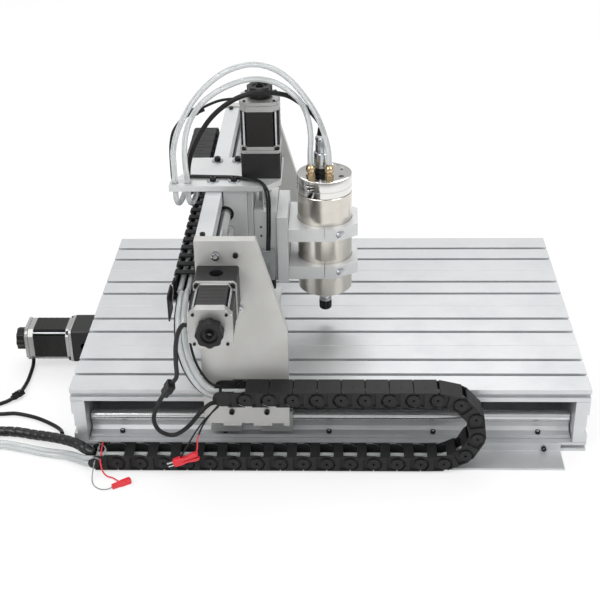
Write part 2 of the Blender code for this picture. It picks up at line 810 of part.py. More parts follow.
def build_gantry_bearings(gantry):
    """Four open bearing blocks on the long rails."""
    top = BEARING_TOP
    bottom = top - BEARING_HEIGHT
    bore = RAIL_SHAFT_RADIUS + 0.4
    open_half = 5.6
    first = math.asin(open_half / bore)
    steps = 20
    arc = []
    for i in range(steps + 1):
        angle = -math.pi / 2 + first + (2 * math.pi - 2 * first) * i / steps
        arc.append((bore * math.cos(angle), RAIL_CENTRE_Z + bore * math.sin(angle)))
    half = BEARING_WIDTH / 2
    outline = [(half, bottom), (half, top - 4), (half - 3, top), (-half + 3, top), (-half, top - 4)]
    outline += [(-half, bottom), (-open_half, bottom), *reversed(arc), (open_half, bottom)]
    for across, side in (("near", -1), ("far", 1)):
        placed = [(side * RAIL_Y + u, v) for u, v in outline]
        for along, end in (("left", -1), ("right", 1)):
            inner = GANTRY_X + end * BEARING_SPACE / 2
            outer = inner + end * BEARING_LENGTH
            block = Part(f"rail_bearing_{across}_{along}", gantry, "black_metal")
            block.prism(placed, "X", min(inner, outer), max(inner, outer))
            block.done()


def build_long_nut(gantry):
    """The ball nut's housing under the cross plate."""
    housing = Part("long_nut_housing", gantry, "black_metal")
    hole = circle((0, LONG_SCREW_Z), SCREW_RADIUS + GAP, 24)
    top = BEARING_TOP
    outline = rectangle(-26, 26, LONG_SCREW_Z - 20, top)
    housing.prism(outline, "X", GANTRY_X - 20, GANTRY_X + 20, holes=(hole,))
    housing.done()


def build_cross_drive(gantry, cross_screw):
    face = -SIDE_OUTER
    centre = (CROSS_SCREW_X, CROSS_SCREW_Z)
    middle = face - MOUNT_LENGTH / 2
    window = ((CROSS_SCREW_X, middle, CROSS_SCREW_Z), "Z", MOUNT_SIDE, 9.0)
    build_mount("cross_motor_mount", gantry, "Y", centre, face, -1, MOUNT_LENGTH, window)
    stepper = Part("cross_motor", gantry, "black_metal")
    rear = motor(stepper, "Y", centre, face - MOUNT_LENGTH, -1)
    stepper.done()
    screw = Part("cross_ball_screw", cross_screw, "steel")
    knob = Part("cross_hand_knob", cross_screw, "black_plastic")
    ends = (middle + COUPLING_LENGTH / 2, SIDE_OUTER - 2)
    drive(screw, knob, "Y", centre, ends, SCREW_RADIUS, middle, -1, rear)
    screw.done()
    knob.done()


def build_cross_chain(gantry, carriage):
    """The cross axis's chain: a run that stays in its tray, and the part that moves with the carriage."""
    low = CROSS_CHAIN_TOP - 2 * CROSS_CHAIN_BEND
    start = -HALF_WIDTH + CROSS_CHAIN_INSET
    pins = chain_pins(start, CROSS_CHAIN_BEND_Y, low, CROSS_CHAIN_TOP, -6.0, CROSS_CHAIN_PITCH)
    split = CROSS_CHAIN_FIXED_LINKS
    for name, body, span in (
        ("cross_chain_fixed_run", gantry, pins[: split + 1]),
        ("cross_chain_bend", carriage, pins[split:]),
    ):
        run = Part(name, body, "black_plastic")
        chain_run(run, "X", CROSS_CHAIN_LEFT, CROSS_CHAIN_RIGHT, span, CHAIN_HEIGHT)
        run.done()
    tray = Part("cross_chain_tray", gantry, "anodised")
    under = low - CHAIN_HEIGHT / 2 - GAP
    outline = [
        (CROSS_CHAIN_LEFT - 2, under - 2.5),
        (CHANNEL_LEFT - GAP, under - 2.5),
        (CHANNEL_LEFT - GAP, under + 26),
        (CHANNEL_LEFT - GAP - 2.5, under + 26),
        (CHANNEL_LEFT - GAP - 2.5, under),
        (CROSS_CHAIN_LEFT - 2, under),
    ]
    tray.prism(outline, "Y", start - 4, SIDE_INNER - 14)
    tray.done()


def build_long_chain(root, gantry):
    """The long chain: a run that stays on the tray, the bend, and the run that the gantry carries."""
    end = GANTRY_X - 35.0
    pins = chain_pins(
        CHAIN_LEFT_END, CHAIN_BEND_X, CHAIN_LOW_Z, CHAIN_HIGH_Z, end, CHAIN_PITCH
    )
    split = CHAIN_FIXED_LINKS
    last = len(pins) - 4
    for name, body, span in (
        ("long_chain_fixed_run", root, pins[: split + 1]),
        ("long_chain_bend", root, pins[split : last + 1]),
        ("long_chain_gantry_end", gantry, pins[last:]),
    ):
        run = Part(name, body, "black_plastic")
        chain_run(run, "Y", CHAIN_NEAR, CHAIN_FAR, span, CHAIN_HEIGHT)
        run.done()


# Cross carriage


def build_carriage_frame(carriage):
    block = Part("carriage_block", carriage, "anodised")
    right = Z_PLATE_LEFT - GAP
    flange_bottom = CHANNEL_TOP - CHANNEL_FLANGE_THICKNESS
    rod_holes = [circle((CROSS_ROD_X, h), CROSS_ROD_RADIUS + 0.3, 24) for h in CROSS_ROD_HEIGHTS]
    screw_hole = circle((CROSS_SCREW_X, CROSS_SCREW_Z), SCREW_RADIUS + GAP, 24)
    outline = [
        (CHANNEL_LEFT + CHANNEL_WEB + 2, CHANNEL_FLOOR_TOP + 3),
        (right, CHANNEL_FLOOR_TOP + 3),
        (right, TOP_PLATE_BOTTOM - GAP),
        (CHANNEL_INNER + 1.5, TOP_PLATE_BOTTOM - GAP),
        (CHANNEL_INNER + 1.5, flange_bottom - 3),
        (CHANNEL_LEFT + CHANNEL_WEB + 2, flange_bottom - 3),
    ]
    half = CARRIAGE_BLOCK_LENGTH / 2
    ends = (CARRIAGE_BLOCK_Y - half, CARRIAGE_BLOCK_Y + half)
    block.prism(outline, "Y", *ends, holes=(*rod_holes, screw_hole))
    block.done()
    plate = Part("carriage_top_plate", carriage, "anodised")
    outline = [
        (TOP_PLATE_LEFT, TOP_PLATE_FRONT),
        (TOP_PLATE_RIGHT - 20, TOP_PLATE_FRONT),
        (TOP_PLATE_RIGHT, TOP_PLATE_FRONT + 22),
        (TOP_PLATE_RIGHT, TOP_PLATE_BACK),
        (TOP_PLATE_LEFT + 19, TOP_PLATE_BACK),
        (TOP_PLATE_LEFT + 19, -45.0),
        (TOP_PLATE_LEFT, -80.0),
    ]
    holes = [circle(place, radius, 20) for place, radius in PLATE_HOLES]
    holes.append(circle((Z_AXIS_X, CARRIAGE_Y), Z_SCREW_RADIUS + 1.0, 20))
    plate.prism(outline, "Z", TOP_PLATE_BOTTOM, TOP_PLATE_TOP, holes=holes)
    for x in (-164.5, -134.5):
        for y in (-79.0, -5.5):
            screw_head(plate, (x, y), "Z", TOP_PLATE_TOP, 1, 4.2, 6.6)
    plate.done()


PLATE_HOLES = (
    ((-218.0, -85.0), 4.8),
    ((-200.0, -85.0), 4.8),
    ((-201.0, -66.0), 4.8),
)


def build_upright_frame(carriage):
    """The back plate with its foot, and two upright guide rods between foot and top plate."""
    near = CARRIAGE_Y - SLIDE_WIDTH / 2
    far = CARRIAGE_Y + SLIDE_WIDTH / 2
    frame = Part("upright_frame", carriage, "anodised")
    inner = Z_PLATE_LEFT + Z_PLATE_THICKNESS
    outline = [
        (Z_PLATE_LEFT, Z_PLATE_BOTTOM),
        (SLIDE_RIGHT, Z_PLATE_BOTTOM),
        (SLIDE_RIGHT, Z_PLATE_BOTTOM + Z_FOOT_THICKNESS),
        (inner, Z_PLATE_BOTTOM + Z_FOOT_THICKNESS),
        (inner, TOP_PLATE_BOTTOM - GAP),
        (Z_PLATE_LEFT, TOP_PLATE_BOTTOM - GAP),
    ]
    frame.prism(outline, "Y", near, far)
    frame.done()
    bottom = Z_PLATE_BOTTOM + Z_FOOT_THICKNESS + GAP
    for name, side in (("upright_rod_near", -1), ("upright_rod_far", 1)):
        rod = Part(name, carriage, "steel")
        start = (Z_ROD_X, CARRIAGE_Y + side * Z_ROD_SPREAD, bottom)
        rod.cylinder(start, "Z", TOP_PLATE_BOTTOM - GAP - bottom, Z_ROD_RADIUS, 20)
        rod.done()


def build_upright_drive(carriage, upright_screw):
    face = TOP_PLATE_TOP
    centre = (Z_AXIS_X, CARRIAGE_Y)
    middle = face + UPRIGHT_MOUNT_LENGTH / 2
    window = ((Z_AXIS_X, CARRIAGE_Y, middle), "X", MOUNT_SIDE, 8.0)
    build_mount("upright_motor_mount", carriage, "Z", centre, face, 1, UPRIGHT_MOUNT_LENGTH, window)
    stepper = Part("upright_motor", carriage, "black_metal")
    top = motor(stepper, "Z", centre, face + UPRIGHT_MOUNT_LENGTH, 1)
    stepper.done()
    screw = Part("upright_ball_screw", upright_screw, "steel")
    knob = Part("upright_hand_knob", upright_screw, "black_plastic")
    start = Z_PLATE_BOTTOM + Z_FOOT_THICKNESS + GAP
    ends = (start, middle - COUPLING_LENGTH / 2 - GAP)
    drive(screw, knob, "Z", centre, ends, Z_SCREW_RADIUS, middle, 1, top)
    screw.done()
    knob.done()


# Upright slide and spindle


def build_slide(slide):
    near = CARRIAGE_Y - SLIDE_WIDTH / 2
    far = CARRIAGE_Y + SLIDE_WIDTH / 2
    left = Z_PLATE_LEFT + Z_PLATE_THICKNESS + 0.6
    block = Part("upright_slide", slide, "anodised")
    holes = [circle((Z_AXIS_X, CARRIAGE_Y), Z_SCREW_RADIUS + GAP, 20)]
    for side in (-1, 1):
        holes.append(circle((Z_ROD_X, CARRIAGE_Y + side * Z_ROD_SPREAD), Z_ROD_RADIUS + GAP, 20))
    block.prism(rectangle(left, SLIDE_RIGHT, near, far), "Z", SLIDE_BOTTOM, SLIDE_TOP, holes=holes)
    block.done()
    plate = Part("spindle_mount_plate", slide, "anodised")
    half = CLAMP_WIDTH / 2
    plate.box(
        (SLIDE_RIGHT + GAP, CARRIAGE_Y - half, MOUNT_PLATE_BOTTOM),
        (SLIDE_RIGHT + GAP + MOUNT_PLATE_THICKNESS, CARRIAGE_Y + half, MOUNT_PLATE_TOP),
    )
    plate.done()
    switch = Part("limit_switch", slide, "black_plastic")
    switch.box((-97, near - 11, 92), (-79, near - GAP, 145))
    switch.box((-95.5, near - 9.5, 84), (-80.5, near - 2, 93))
    switch.done()


def build_clamps(slide):
    """Two clamps round the spindle: each is slit through its near ear and grooved at its far one."""
    half = CLAMP_WIDTH / 2
    slope = CLAMP_RIGHT - CLAMP_CHAMFER_LENGTH
    side = half - CLAMP_CHAMFER_DEPTH
    back = SLIDE_RIGHT + 2 * GAP + MOUNT_PLATE_THICKNESS
    outline = [
        (back, CARRIAGE_Y - half),
        (slope, CARRIAGE_Y - half),
        (CLAMP_RIGHT, CARRIAGE_Y - side),
        (CLAMP_RIGHT, CARRIAGE_Y + side),
        (slope, CARRIAGE_Y + half),
        (back, CARRIAGE_Y + half),
    ]
    bore = circle((SPINDLE_X, CARRIAGE_Y), SPINDLE_RADIUS + GAP, 64)
    slit = CLAMP_SPLIT / 2
    for name, bottom in zip(("spindle_clamp_lower", "spindle_clamp_upper"), CLAMP_BOTTOMS):
        top = bottom + CLAMP_THICKNESS
        clamp = Part(name, slide, "anodised")
        clamp.prism(outline, "Z", bottom, top, holes=(bore,))
        near = CARRIAGE_Y - half
        far = CARRIAGE_Y + half
        clamp.cut_box((SPINDLE_X - slit, near - 1, bottom - 1), (SPINDLE_X + slit, near + 12, top + 1))
        clamp.cut_box((SPINDLE_X - slit, far - 4, bottom - 1), (SPINDLE_X + slit, far + 1, top + 1))
        for y in (near + 4.0, far - 4.0):
            clamp.cut_cylinder((slope + 2.0, y, (top + bottom) / 2), "X", 40.0, 5.0, 16)
        clamp.done()


def build_spindle(slide, rotor):
    centre = (SPINDLE_X, CARRIAGE_Y)
    body = Part("spindle_body", slide, "nickel")
    bore = circle(centre, NOSE_RADIUS + GAP, 24)
    body.prism(
        circle(centre, SPINDLE_RADIUS, 64), "Z", SPINDLE_BOTTOM, SPINDLE_CAP_BOTTOM - GAP,
        holes=(bore,),
    )
    body.done()
    cap = Part("spindle_cap", slide, "steel")
    cap.cylinder(
        (*centre, SPINDLE_CAP_BOTTOM), "Z", SPINDLE_CAP_TOP - SPINDLE_CAP_BOTTOM, SPINDLE_RADIUS, 64
    )
    for x, y in HOSE_FITTINGS:
        cap.cylinder((x, y, SPINDLE_CAP_TOP - 1), "Z", 10.0, 5.5, 12)
        cap.ball((x, y, SPINDLE_CAP_TOP + 13.4), 6.8, 8)
    x, y = CONNECTOR_PLACE
    cap.cylinder((x, y, SPINDLE_CAP_TOP - 1), "Z", 9.0, 10.5, 24)
    cap.cylinder((x, y, SPINDLE_CAP_TOP + 4), "Z", 60.0, 8.2, 24)
    cap.done()
    nose = Part("spindle_nose", rotor, "steel")
    nose.cylinder((*centre, NUT_TOP - 3), "Z", SPINDLE_CAP_BOTTOM - GAP - NUT_TOP + 1, NOSE_RADIUS)
    nose.cylinder((*centre, NUT_BOTTOM), "Z", NUT_TOP - NUT_BOTTOM, NUT_RADIUS, 24)
    nose.done()


HOSE_FITTINGS = ((-26.0, -60.0), (1.0, -63.0))
CONNECTOR_PLACE = (-10.0, -41.0)

# Cords. Each strand is its diameter and the points chosen by hand along the way that it takes.

OUTER_HOSE = (
    8.0,
    (
        (-207, -12, 229), (-208, -40, 226), (-211, -66, 217), (-215, -83, 216),
        (-218, -87, 226), (-218, -85.3, 236), (-218, -85, 244), (-218, -85, 253), (-218, -84, 271),
        (-218, -82, 294), (-212, -80, 319), (-201, -78, 343), (-185, -75, 368), (-163, -72, 391),
        (-136, -68, 408), (-104, -62, 414), (-77, -58, 407), (-54, -57, 391), (-34, -57, 367),
        (-16, -58, 338), (-5, -60, 308), (0, -62, 285), (1, -63, 266.6),
    ),
)
INNER_HOSE = (
    8.0,
    (
        (-190, -12, 229), (-191, -40, 226), (-193, -66, 217), (-197, -83, 216),
        (-200, -87, 226), (-200, -85.3, 236), (-200, -85, 244), (-200, -85, 253), (-202, -84, 272),
        (-202, -82, 297), (-199, -80, 319), (-190, -78, 343), (-174, -76, 364), (-149, -71, 381),
        (-121, -65, 391), (-96, -61, 393), (-72, -58, 386), (-52, -57, 372), (-37, -57, 355),
        (-28, -58, 332), (-25, -59, 307), (-26, -60, 284), (-26, -60, 266.6),
    ),
)
SPINDLE_CABLE = (
    7.0,
    (
        (-198, -12, 219), (-199, -36, 217), (-201, -56, 220), (-201.5, -66.5, 231),
        (-201, -66, 241), (-201, -66, 250), (-200, -67, 264), (-195, -69, 284), (-183, -72, 311),
        (-167, -76, 337), (-148, -79, 357), (-124, -81, 373), (-97, -80, 380.5), (-84, -70, 377),
        (-72, -58, 371), (-60, -48, 365), (-50, -44, 359), (-36, -42, 348), (-23, -41, 335),
        (-14, -41, 323), (-10.4, -41, 317), (-10, -41, 311.5),
    ),
)
UPRIGHT_MOTOR_CABLE = (
    4.0,
    (
        (-209, -12, 219), (-213, -26, 218.5), (-219, -42, 222), (-223, -54, 231), (-225, -61, 246),
        (-225, -62.5, 262), (-225, -62, 280), (-224, -59, 298), (-220, -54, 314),
        (-211, -48, 326), (-200, -42, 333), (-188, -38, 338), (-173, -35, 345),
        (-156, -32, 351), (-140, -30, 353), (-125, -30, 353),
    ),
)
LIMIT_SWITCH_CABLE = (
    4.0,
    (
        (-197.1, -66.6, 250.9), (-165, -69, 251), (-144, -70, 251), (-131, -71.5, 251),
        (-122, -76.5, 251.5), (-106, -84, 252.5), (-95, -94, 252.5), (-88, -102, 246),
        (-85, -105, 232), (-85, -105, 207), (-86, -104, 175), (-87.5, -97, 156), (-88, -94, 145.8),
    ),
)
GANTRY_HARNESS = (
    16.0,
    (
        (-198, -203, 136), (-198, -225, 136), (-198, -254, 122), (-196, -271, 92),
        (-188, -277, 60), (-175, -278, 34), (-161, -278, 20.5), (-150.4, -278, 18.6),
    ),
)
CROSS_MOTOR_CABLE = (
    6.0,
    (
        (-173.8, -370, 181), (-179, -370, 180.6), (-186, -368, 168), (-191, -362, 145), (-194, -352, 115),
        (-197, -336, 84), (-206, -318, 62), (-222, -306, 34), (-233, -301, 12), (-239, -300, -11),
        (-231, -301, -29), (-212, -302, -34), (-192, -302, -20), (-175, -298, 0), (-161, -289, 9),
        (-148, -288, 10),
    ),
)
LONG_MOTOR_CABLE = (
    6.0,
    (
        (-480, -8, -89.4), (-480, -8, -92), (-480, -12, -97.8), (-479, -26, -100.2), (-478, -62, -100.3),
        (-479.5, -92, -98), (-484, -107, -98), (-490, -117, -98.5), (-498, -124, -99.6),
        (-508, -130, -100.3), (-516, -139, -100.3), (-515, -150, -100.3), (-506, -156, -100.3),
        (-494, -156, -100.3), (-474, -155, -100.3), (-442, -166, -100.3), (-414, -183.5, -100.3),
        (-398, -201, -97.5), (-391, -218.5, -91.5),
    ),
)
SUPPLY_HARNESS = (
    15.0,
    (
        (-612, -204, -90), (-585, -204, -92), (-560, -204, -95), (-525, -204, -96), (-487, -204.5, -96),
        (-460, -209, -96), (-435, -216, -95.5), (-410, -226, -92), (-384, -240, -87),
        (-362, -254, -84), (-346, -266, -85.5), (-333.6, -272.5, -87.7),
    ),
)
SUPPLY_HOSES = (
    8.0,
    (
        (-558, -256, -93), (-545, -255.5, -95), (-525, -250, -98), (-505, -243, -99.3),
        (-481, -238, -99.3), (-446, -248, -99.3), (-409, -259, -99.3), (-374, -268, -98.6),
        (-350, -282, -96.2), (-340, -287, -95), (-331.3, -289, -94.6),
    ),
)
# The sizes that the routes near the left end and the near side were laid out for.
ROUTED_SIDE = 259.0
ROUTED_HALF_LENGTH = 367.5
HARNESS_COIL = ((-612.0, -122.0, -88.5), 82.0, 15.0)
HOSE_COIL = ((-558.0, -300.0, -91.5), 44.0, 12.0)


def build_cords(root, gantry, carriage):
    cord("spindle_hose_outer", carriage, "hose", OUTER_HOSE)
    cord("spindle_hose_inner", carriage, "hose", INNER_HOSE)
    cord("spindle_cable", carriage, "cable", SPINDLE_CABLE)
    cord("upright_motor_cable", carriage, "cable", UPRIGHT_MOTOR_CABLE, (9.0, (-187, -35.5, 344), 13))
    cord("limit_switch_cable", carriage, "cable", LIMIT_SWITCH_CABLE)
    near = ROUTED_SIDE - SIDE_OUTER
    left = ROUTED_HALF_LENGTH - HALF_LENGTH
    cord("gantry_harness", gantry, "cable", GANTRY_HARNESS, None, (0, near, 0))
    cord(
        "cross_motor_cable", gantry, "cable", CROSS_MOTOR_CABLE, (12.0, (-214, -312, 48), 17),
        (0, near, 0),
    )
    cord(
        "long_motor_cable", root, "cable", LONG_MOTOR_CABLE, (11.0, (-484, -107, -98), 10),
        (left, 0, 0),
    )
    for name, finish, strand, coil, plug in (
        ("supply_harness", "cable", SUPPLY_HARNESS, HARNESS_COIL, 9.0),
        ("supply_hoses", "hose", SUPPLY_HOSES, HOSE_COIL, 5.5),
    ):
        centre, major, minor = coil
        centre = (centre[0] + left, centre[1] + near, centre[2])
        supply = Part(name, root, finish)
        supply.ring(centre, major, minor)
        route = smooth_route(strand[1], 2.2 * strand[0])
        supply.tube(strand[0], [p + Vector((left, near, 0)) for p in route])
        start = (centre[0] - 20, centre[1] + major, centre[2] + minor - 1)
        supply.cylinder(start, "X", 40.0, plug, 16)
        supply.done()


def main():
    clear_scene()
    for collection in (PARTS, CUTTERS):
        bpy.context.scene.collection.children.link(collection)
    CUTTERS.hide_render = True

    root = Body("machine", (0, 0, 0))
    shift = (-(LEFT_END + HALF_LENGTH) / 2, -(NEAR_END + FAR_END) / 2, -FLOOR)
    root.empty.location = Vector(shift) * MM
    long_screw = Body("long_screw_axis", (0, 0, LONG_SCREW_Z), root)
    gantry = Body("gantry", (GANTRY_X, 0, RAIL_CENTRE_Z), root)
    cross_screw = Body("cross_screw_axis", (CROSS_SCREW_X, 0, CROSS_SCREW_Z), gantry)
    carriage = Body("cross_carriage", (CROSS_ROD_X, CARRIAGE_Y, CROSS_ROD_HEIGHTS[0]), gantry)
    upright_screw = Body("upright_screw_axis", (Z_AXIS_X, CARRIAGE_Y, TOP_PLATE_TOP), carriage)
    slide = Body("upright_slide_axis", (Z_AXIS_X, CARRIAGE_Y, SLIDE_BOTTOM), carriage)
    rotor = Body("spindle_axis", (SPINDLE_X, CARRIAGE_Y, SPINDLE_BOTTOM), slide)

    build_worktable(root)
    build_end_beams(root)
    build_base_profiles(root)
    build_rails(root)
    build_chain_tray(root)
    build_long_drive(root, long_screw)
    build_gantry_frame(gantry)
    build_gantry_bearings(gantry)
    build_long_nut(gantry)
    build_cross_drive(gantry, cross_screw)
    build_cross_chain(gantry, carriage)
    build_long_chain(root, gantry)
    build_carriage_frame(carriage)
    build_upright_frame(carriage)
    build_upright_drive(carriage, upright_screw)
    build_slide(slide)
    build_clamps(slide)
    build_spindle(slide, rotor)
    build_cords(root, gantry, carriage)


if __name__ == "__main__":
    main()
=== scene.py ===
"""Finished look of a bench-top CNC router.

The CAD frame gives the sizes and the places of every part. This script adds the fine
pieces, such as motors, grips, chain links, hoses and screws, and the real finishes.
Lengths are in millimetres from the middle of the table top: X to the right along the
table, Y away from the viewer and Z upwards. Form turns them to the frame's metres.
"""

from __future__ import annotations

import logging
import math
from collections.abc import Iterable, Sequence
from dataclasses import dataclass, field
from enum import Enum

import bmesh
import bpy
from mathutils import Matrix, Vector

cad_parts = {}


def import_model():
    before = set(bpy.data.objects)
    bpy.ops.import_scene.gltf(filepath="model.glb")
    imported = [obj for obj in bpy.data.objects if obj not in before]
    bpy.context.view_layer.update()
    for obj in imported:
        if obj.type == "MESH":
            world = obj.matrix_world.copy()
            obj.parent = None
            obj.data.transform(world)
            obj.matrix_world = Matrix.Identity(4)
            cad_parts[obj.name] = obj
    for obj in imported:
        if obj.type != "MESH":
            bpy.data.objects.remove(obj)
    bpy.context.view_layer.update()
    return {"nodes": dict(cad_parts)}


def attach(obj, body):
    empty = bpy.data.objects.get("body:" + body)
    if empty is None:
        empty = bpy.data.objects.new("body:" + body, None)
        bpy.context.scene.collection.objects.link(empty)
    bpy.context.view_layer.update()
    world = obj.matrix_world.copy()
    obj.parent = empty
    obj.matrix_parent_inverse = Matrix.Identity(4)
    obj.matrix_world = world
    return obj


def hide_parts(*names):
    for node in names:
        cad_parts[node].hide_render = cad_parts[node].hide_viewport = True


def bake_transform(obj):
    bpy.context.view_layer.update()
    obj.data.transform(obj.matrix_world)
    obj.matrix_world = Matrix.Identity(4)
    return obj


log = logging.getLogger("router")

Point = tuple[float, float, float]
Flat = tuple[float, float]

TABLE_CENTRE = Vector((67.7, 65.2, 104.0))
MM = 0.001


def at(place: Sequence[float]) -> Vector:
    """A place in millimetres from the table's centre, in the frame's metres."""
    return (Vector(place) + TABLE_CENTRE) * MM


def colour(hex_code: str) -> tuple[float, float, float, float]:
    """An sRGB hex colour as the linear values that a shader takes.

    Args:
        hex_code: six hex digits, such as "C8CACB".

    Returns:
        Red, green, blue and an alpha of 1.
    """
    parts = [int(hex_code[i : i + 2], 16) / 255 for i in (0, 2, 4)]
    linear = [p / 12.92 if p <= 0.04045 else ((p + 0.055) / 1.055) ** 2.4 for p in parts]
    return (linear[0], linear[1], linear[2], 1.0)


def add_node(tree: bpy.types.NodeTree, kind: str, **inputs: object) -> bpy.types.Node:
    """Adds a node, sets its attributes and inputs and links what comes from other nodes.

    Args:
        tree: the node tree.
        kind: the node's type.
        **inputs: an attribute by its name, or an input by its name with _ for a space,
            as a value or as the output socket that it is linked to.

    Returns:
        The new node.
    """
    node = tree.nodes.new(kind)
    waiting = {}
    for name, value in inputs.items():
        if hasattr(node, name):
            setattr(node, name, value)
        else:
            waiting[name.replace("_", " ")] = value
    for name, value in waiting.items():
        socket = node.inputs[int(name[3:])] if name.startswith("in ") else node.inputs[name]
        if isinstance(value, bpy.types.NodeSocket):
            tree.links.new(value, socket)
        else:
            socket.default_value = value
    return node


class Grain(Enum):
    """How the marks of a finish run on the piece."""

    EVEN = (1.0, 1.0, 1.0)
    ALONG_X = (0.04, 1.0, 1.0)
    ALONG_Z = (1.0, 1.0, 0.04)


@dataclass(frozen=True)
class Finish:
    """One real surface finish, as a procedural material."""

    name: str
    base: str
    worn: str
    metallic: float = 0.0
    roughness: float = 0.5
    rough_spread: float = 0.1
    grain: Grain = Grain.EVEN
    grain_mm: float = 1.0
    relief_mm: float = 0.02
    patch_mm: float = 60.0
    coat: float = 0.0
    clear: float = 0.0
    specular: float = 0.5

    def material(self) -> bpy.types.Material:
        """The material, built once and then shared."""
        known = bpy.data.materials.get(self.name)
        if known is not None:
            return known
        made = bpy.data.materials.new(self.name)
        made.use_nodes = True
        tree = made.node_tree
        shader = tree.nodes["Principled BSDF"]
        where = add_node(tree, "ShaderNodeTexCoord").outputs["Object"]
        turned = add_node(tree, "ShaderNodeMapping", Vector=where, Scale=self.grain.value)
        fine = add_node(
            tree, "ShaderNodeTexNoise", Vector=turned.outputs[0],
            Scale=1000.0 / self.grain_mm, Detail=4.0, Roughness=0.6,
        ).outputs[0]
        patch = add_node(
            tree, "ShaderNodeTexNoise", Vector=where, Scale=1000.0 / self.patch_mm, Detail=3.0,
        ).outputs[0]
        both = add_node(
            tree, "ShaderNodeMath", operation="MULTIPLY_ADD", in_0=fine, in_1=0.45, in_2=patch,
        ).outputs[0]
        mixed = add_node(
            tree, "ShaderNodeMapRange", Value=both, From_Min=0.45, From_Max=1.0,
        ).outputs[0]
        tint = add_node(
            tree, "ShaderNodeMix", data_type="RGBA", in_0=mixed,
            in_6=colour(self.base), in_7=colour(self.worn),
        )
        tree.links.new(tint.outputs[2], shader.inputs["Base Color"])
        rough = add_node(
            tree, "ShaderNodeMapRange", Value=both, From_Min=0.4, From_Max=1.05,
            To_Min=max(0.02, self.roughness - self.rough_spread),
            To_Max=min(1.0, self.roughness + self.rough_spread),
        ).outputs[0]
        tree.links.new(rough, shader.inputs["Roughness"])
        bump = add_node(
            tree, "ShaderNodeBump", Height=fine, Distance=self.relief_mm * MM, Strength=0.6,
        ).outputs[0]
        tree.links.new(bump, shader.inputs["Normal"])
        shader.inputs["Metallic"].default_value = self.metallic
        shader.inputs["Coat Weight"].default_value = self.coat
        shader.inputs["Specular IOR Level"].default_value = self.specular
        shader.inputs["Transmission Weight"].default_value = self.clear
        if self.clear:
            shader.inputs["IOR"].default_value = 1.53
        return made


# Clear-anodised extruded aluminium: a matt oxide with draw lines along the extrusion.
TABLE_ALUMINIUM = Finish(
    "clear_anodised_extrusion", "D2D4D5", "C3C5C7", 0.55, 0.42, 0.08, Grain.ALONG_X, 0.9, 0.015
)
# The same oxide on milled plate: fine, even, a little brighter on the edges.
PLATE_ALUMINIUM = Finish(
    "clear_anodised_plate", "D6D7D7", "C8C9CA", 0.5, 0.40, 0.08, Grain.ALONG_Z, 0.7, 0.012
)
# Bead-blasted anodised side plate: a warmer grey that is matt in every direction.
WARM_PLATE = Finish(
    "blasted_anodised_plate", "C3C3C1", "B3B2AE", 0.4, 0.42, 0.07, Grain.EVEN, 0.5, 0.02
)
# Hardened and ground linear shaft: a tight, bright reflection.
GROUND_STEEL = Finish(
    "ground_bearing_steel", "E0E1E2", "D0D1D2", 0.8, 0.20, 0.06, Grain.ALONG_X, 0.4, 0.004
)
# Rolled ball screw thread: bright steel with oil left in the groove.
ROLLED_STEEL = Finish(
    "rolled_screw_steel", "D4D4D3", "B9B8B5", 0.8, 0.28, 0.08, Grain.EVEN, 1.2, 0.01
)
# Turned stainless body: satin nickel-warm grey, with turning lines round the axis.
SATIN_STAINLESS = Finish(
    "satin_turned_stainless", "DAD6CE", "C8C3BA", 1.0, 0.25, 0.06, Grain.EVEN, 0.8, 0.004
)
# Polished chrome on the cap: mirror-like, hardly any grain.
POLISHED_CHROME = Finish(
    "polished_chrome", "E4E3E1", "D5D3D0", 1.0, 0.07, 0.03, Grain.EVEN, 2.0, 0.001
)
# Nickel-plated brass push fitting: a pale champagne metal.
CHAMPAGNE_BRASS = Finish(
    "champagne_brass", "D2BF9E", "BCA582", 1.0, 0.26, 0.07, Grain.EVEN, 0.6, 0.004
)
# Cast and machined motor end bell: dull silver with a fine cast grain.
CAST_END_BELL = Finish(
    "cast_aluminium_end_bell", "B9B9B8", "9E9E9C", 0.75, 0.42, 0.1, Grain.EVEN, 0.8, 0.03
)
# Black-lacquered steel laminations: satin, stacked across the shaft.
LACQUERED_STACK = Finish(
    "black_lacquered_laminations", "171615", "201E1D", 0.0, 0.42, 0.1, Grain.EVEN, 0.7, 0.03,
    specular=0.3,
)
# Black-oxide cap screw: nearly black with an oily sheen.
BLACK_OXIDE = Finish(
    "black_oxide_screw_steel", "1C1B1B", "2A2928", 0.6, 0.35, 0.1, Grain.EVEN, 0.5, 0.01
)
# Zinc-plated screw: bright, slightly blue.
ZINC_PLATE = Finish(
    "zinc_plated_screw_steel", "C4C7CA", "A9ACAF", 1.0, 0.25, 0.06, Grain.EVEN, 0.5, 0.006
)
# Black-anodised bracket: dark grey with a satin oxide.
BLACK_ANODISED = Finish(
    "black_anodised_aluminium", "1C1C1D", "262627", 0.1, 0.40, 0.08, Grain.EVEN, 0.5, 0.015,
    specular=0.35,
)
# Glass-filled nylon chain link: dark grey, with a fine moulded texture.
CHAIN_NYLON = Finish(
    "moulded_chain_nylon", "19191A", "232324", 0.0, 0.5, 0.1, Grain.EVEN, 0.9, 0.04,
    specular=0.28,
)
# Moulded grip of phenolic plastic: black with a soft gloss.
GRIP_PHENOLIC = Finish(
    "moulded_phenolic_grip", "121212", "1B1B1B", 0.0, 0.36, 0.08, Grain.EVEN, 1.2, 0.02,
    specular=0.3,
)
# Soft PVC cable jacket: satin black with dust that pales it a little.
CABLE_PVC = Finish(
    "pvc_cable_jacket", "0F0F10", "191919", 0.0, 0.42, 0.1, Grain.EVEN, 2.0, 0.02, patch_mm=25.0,
    specular=0.3,
)
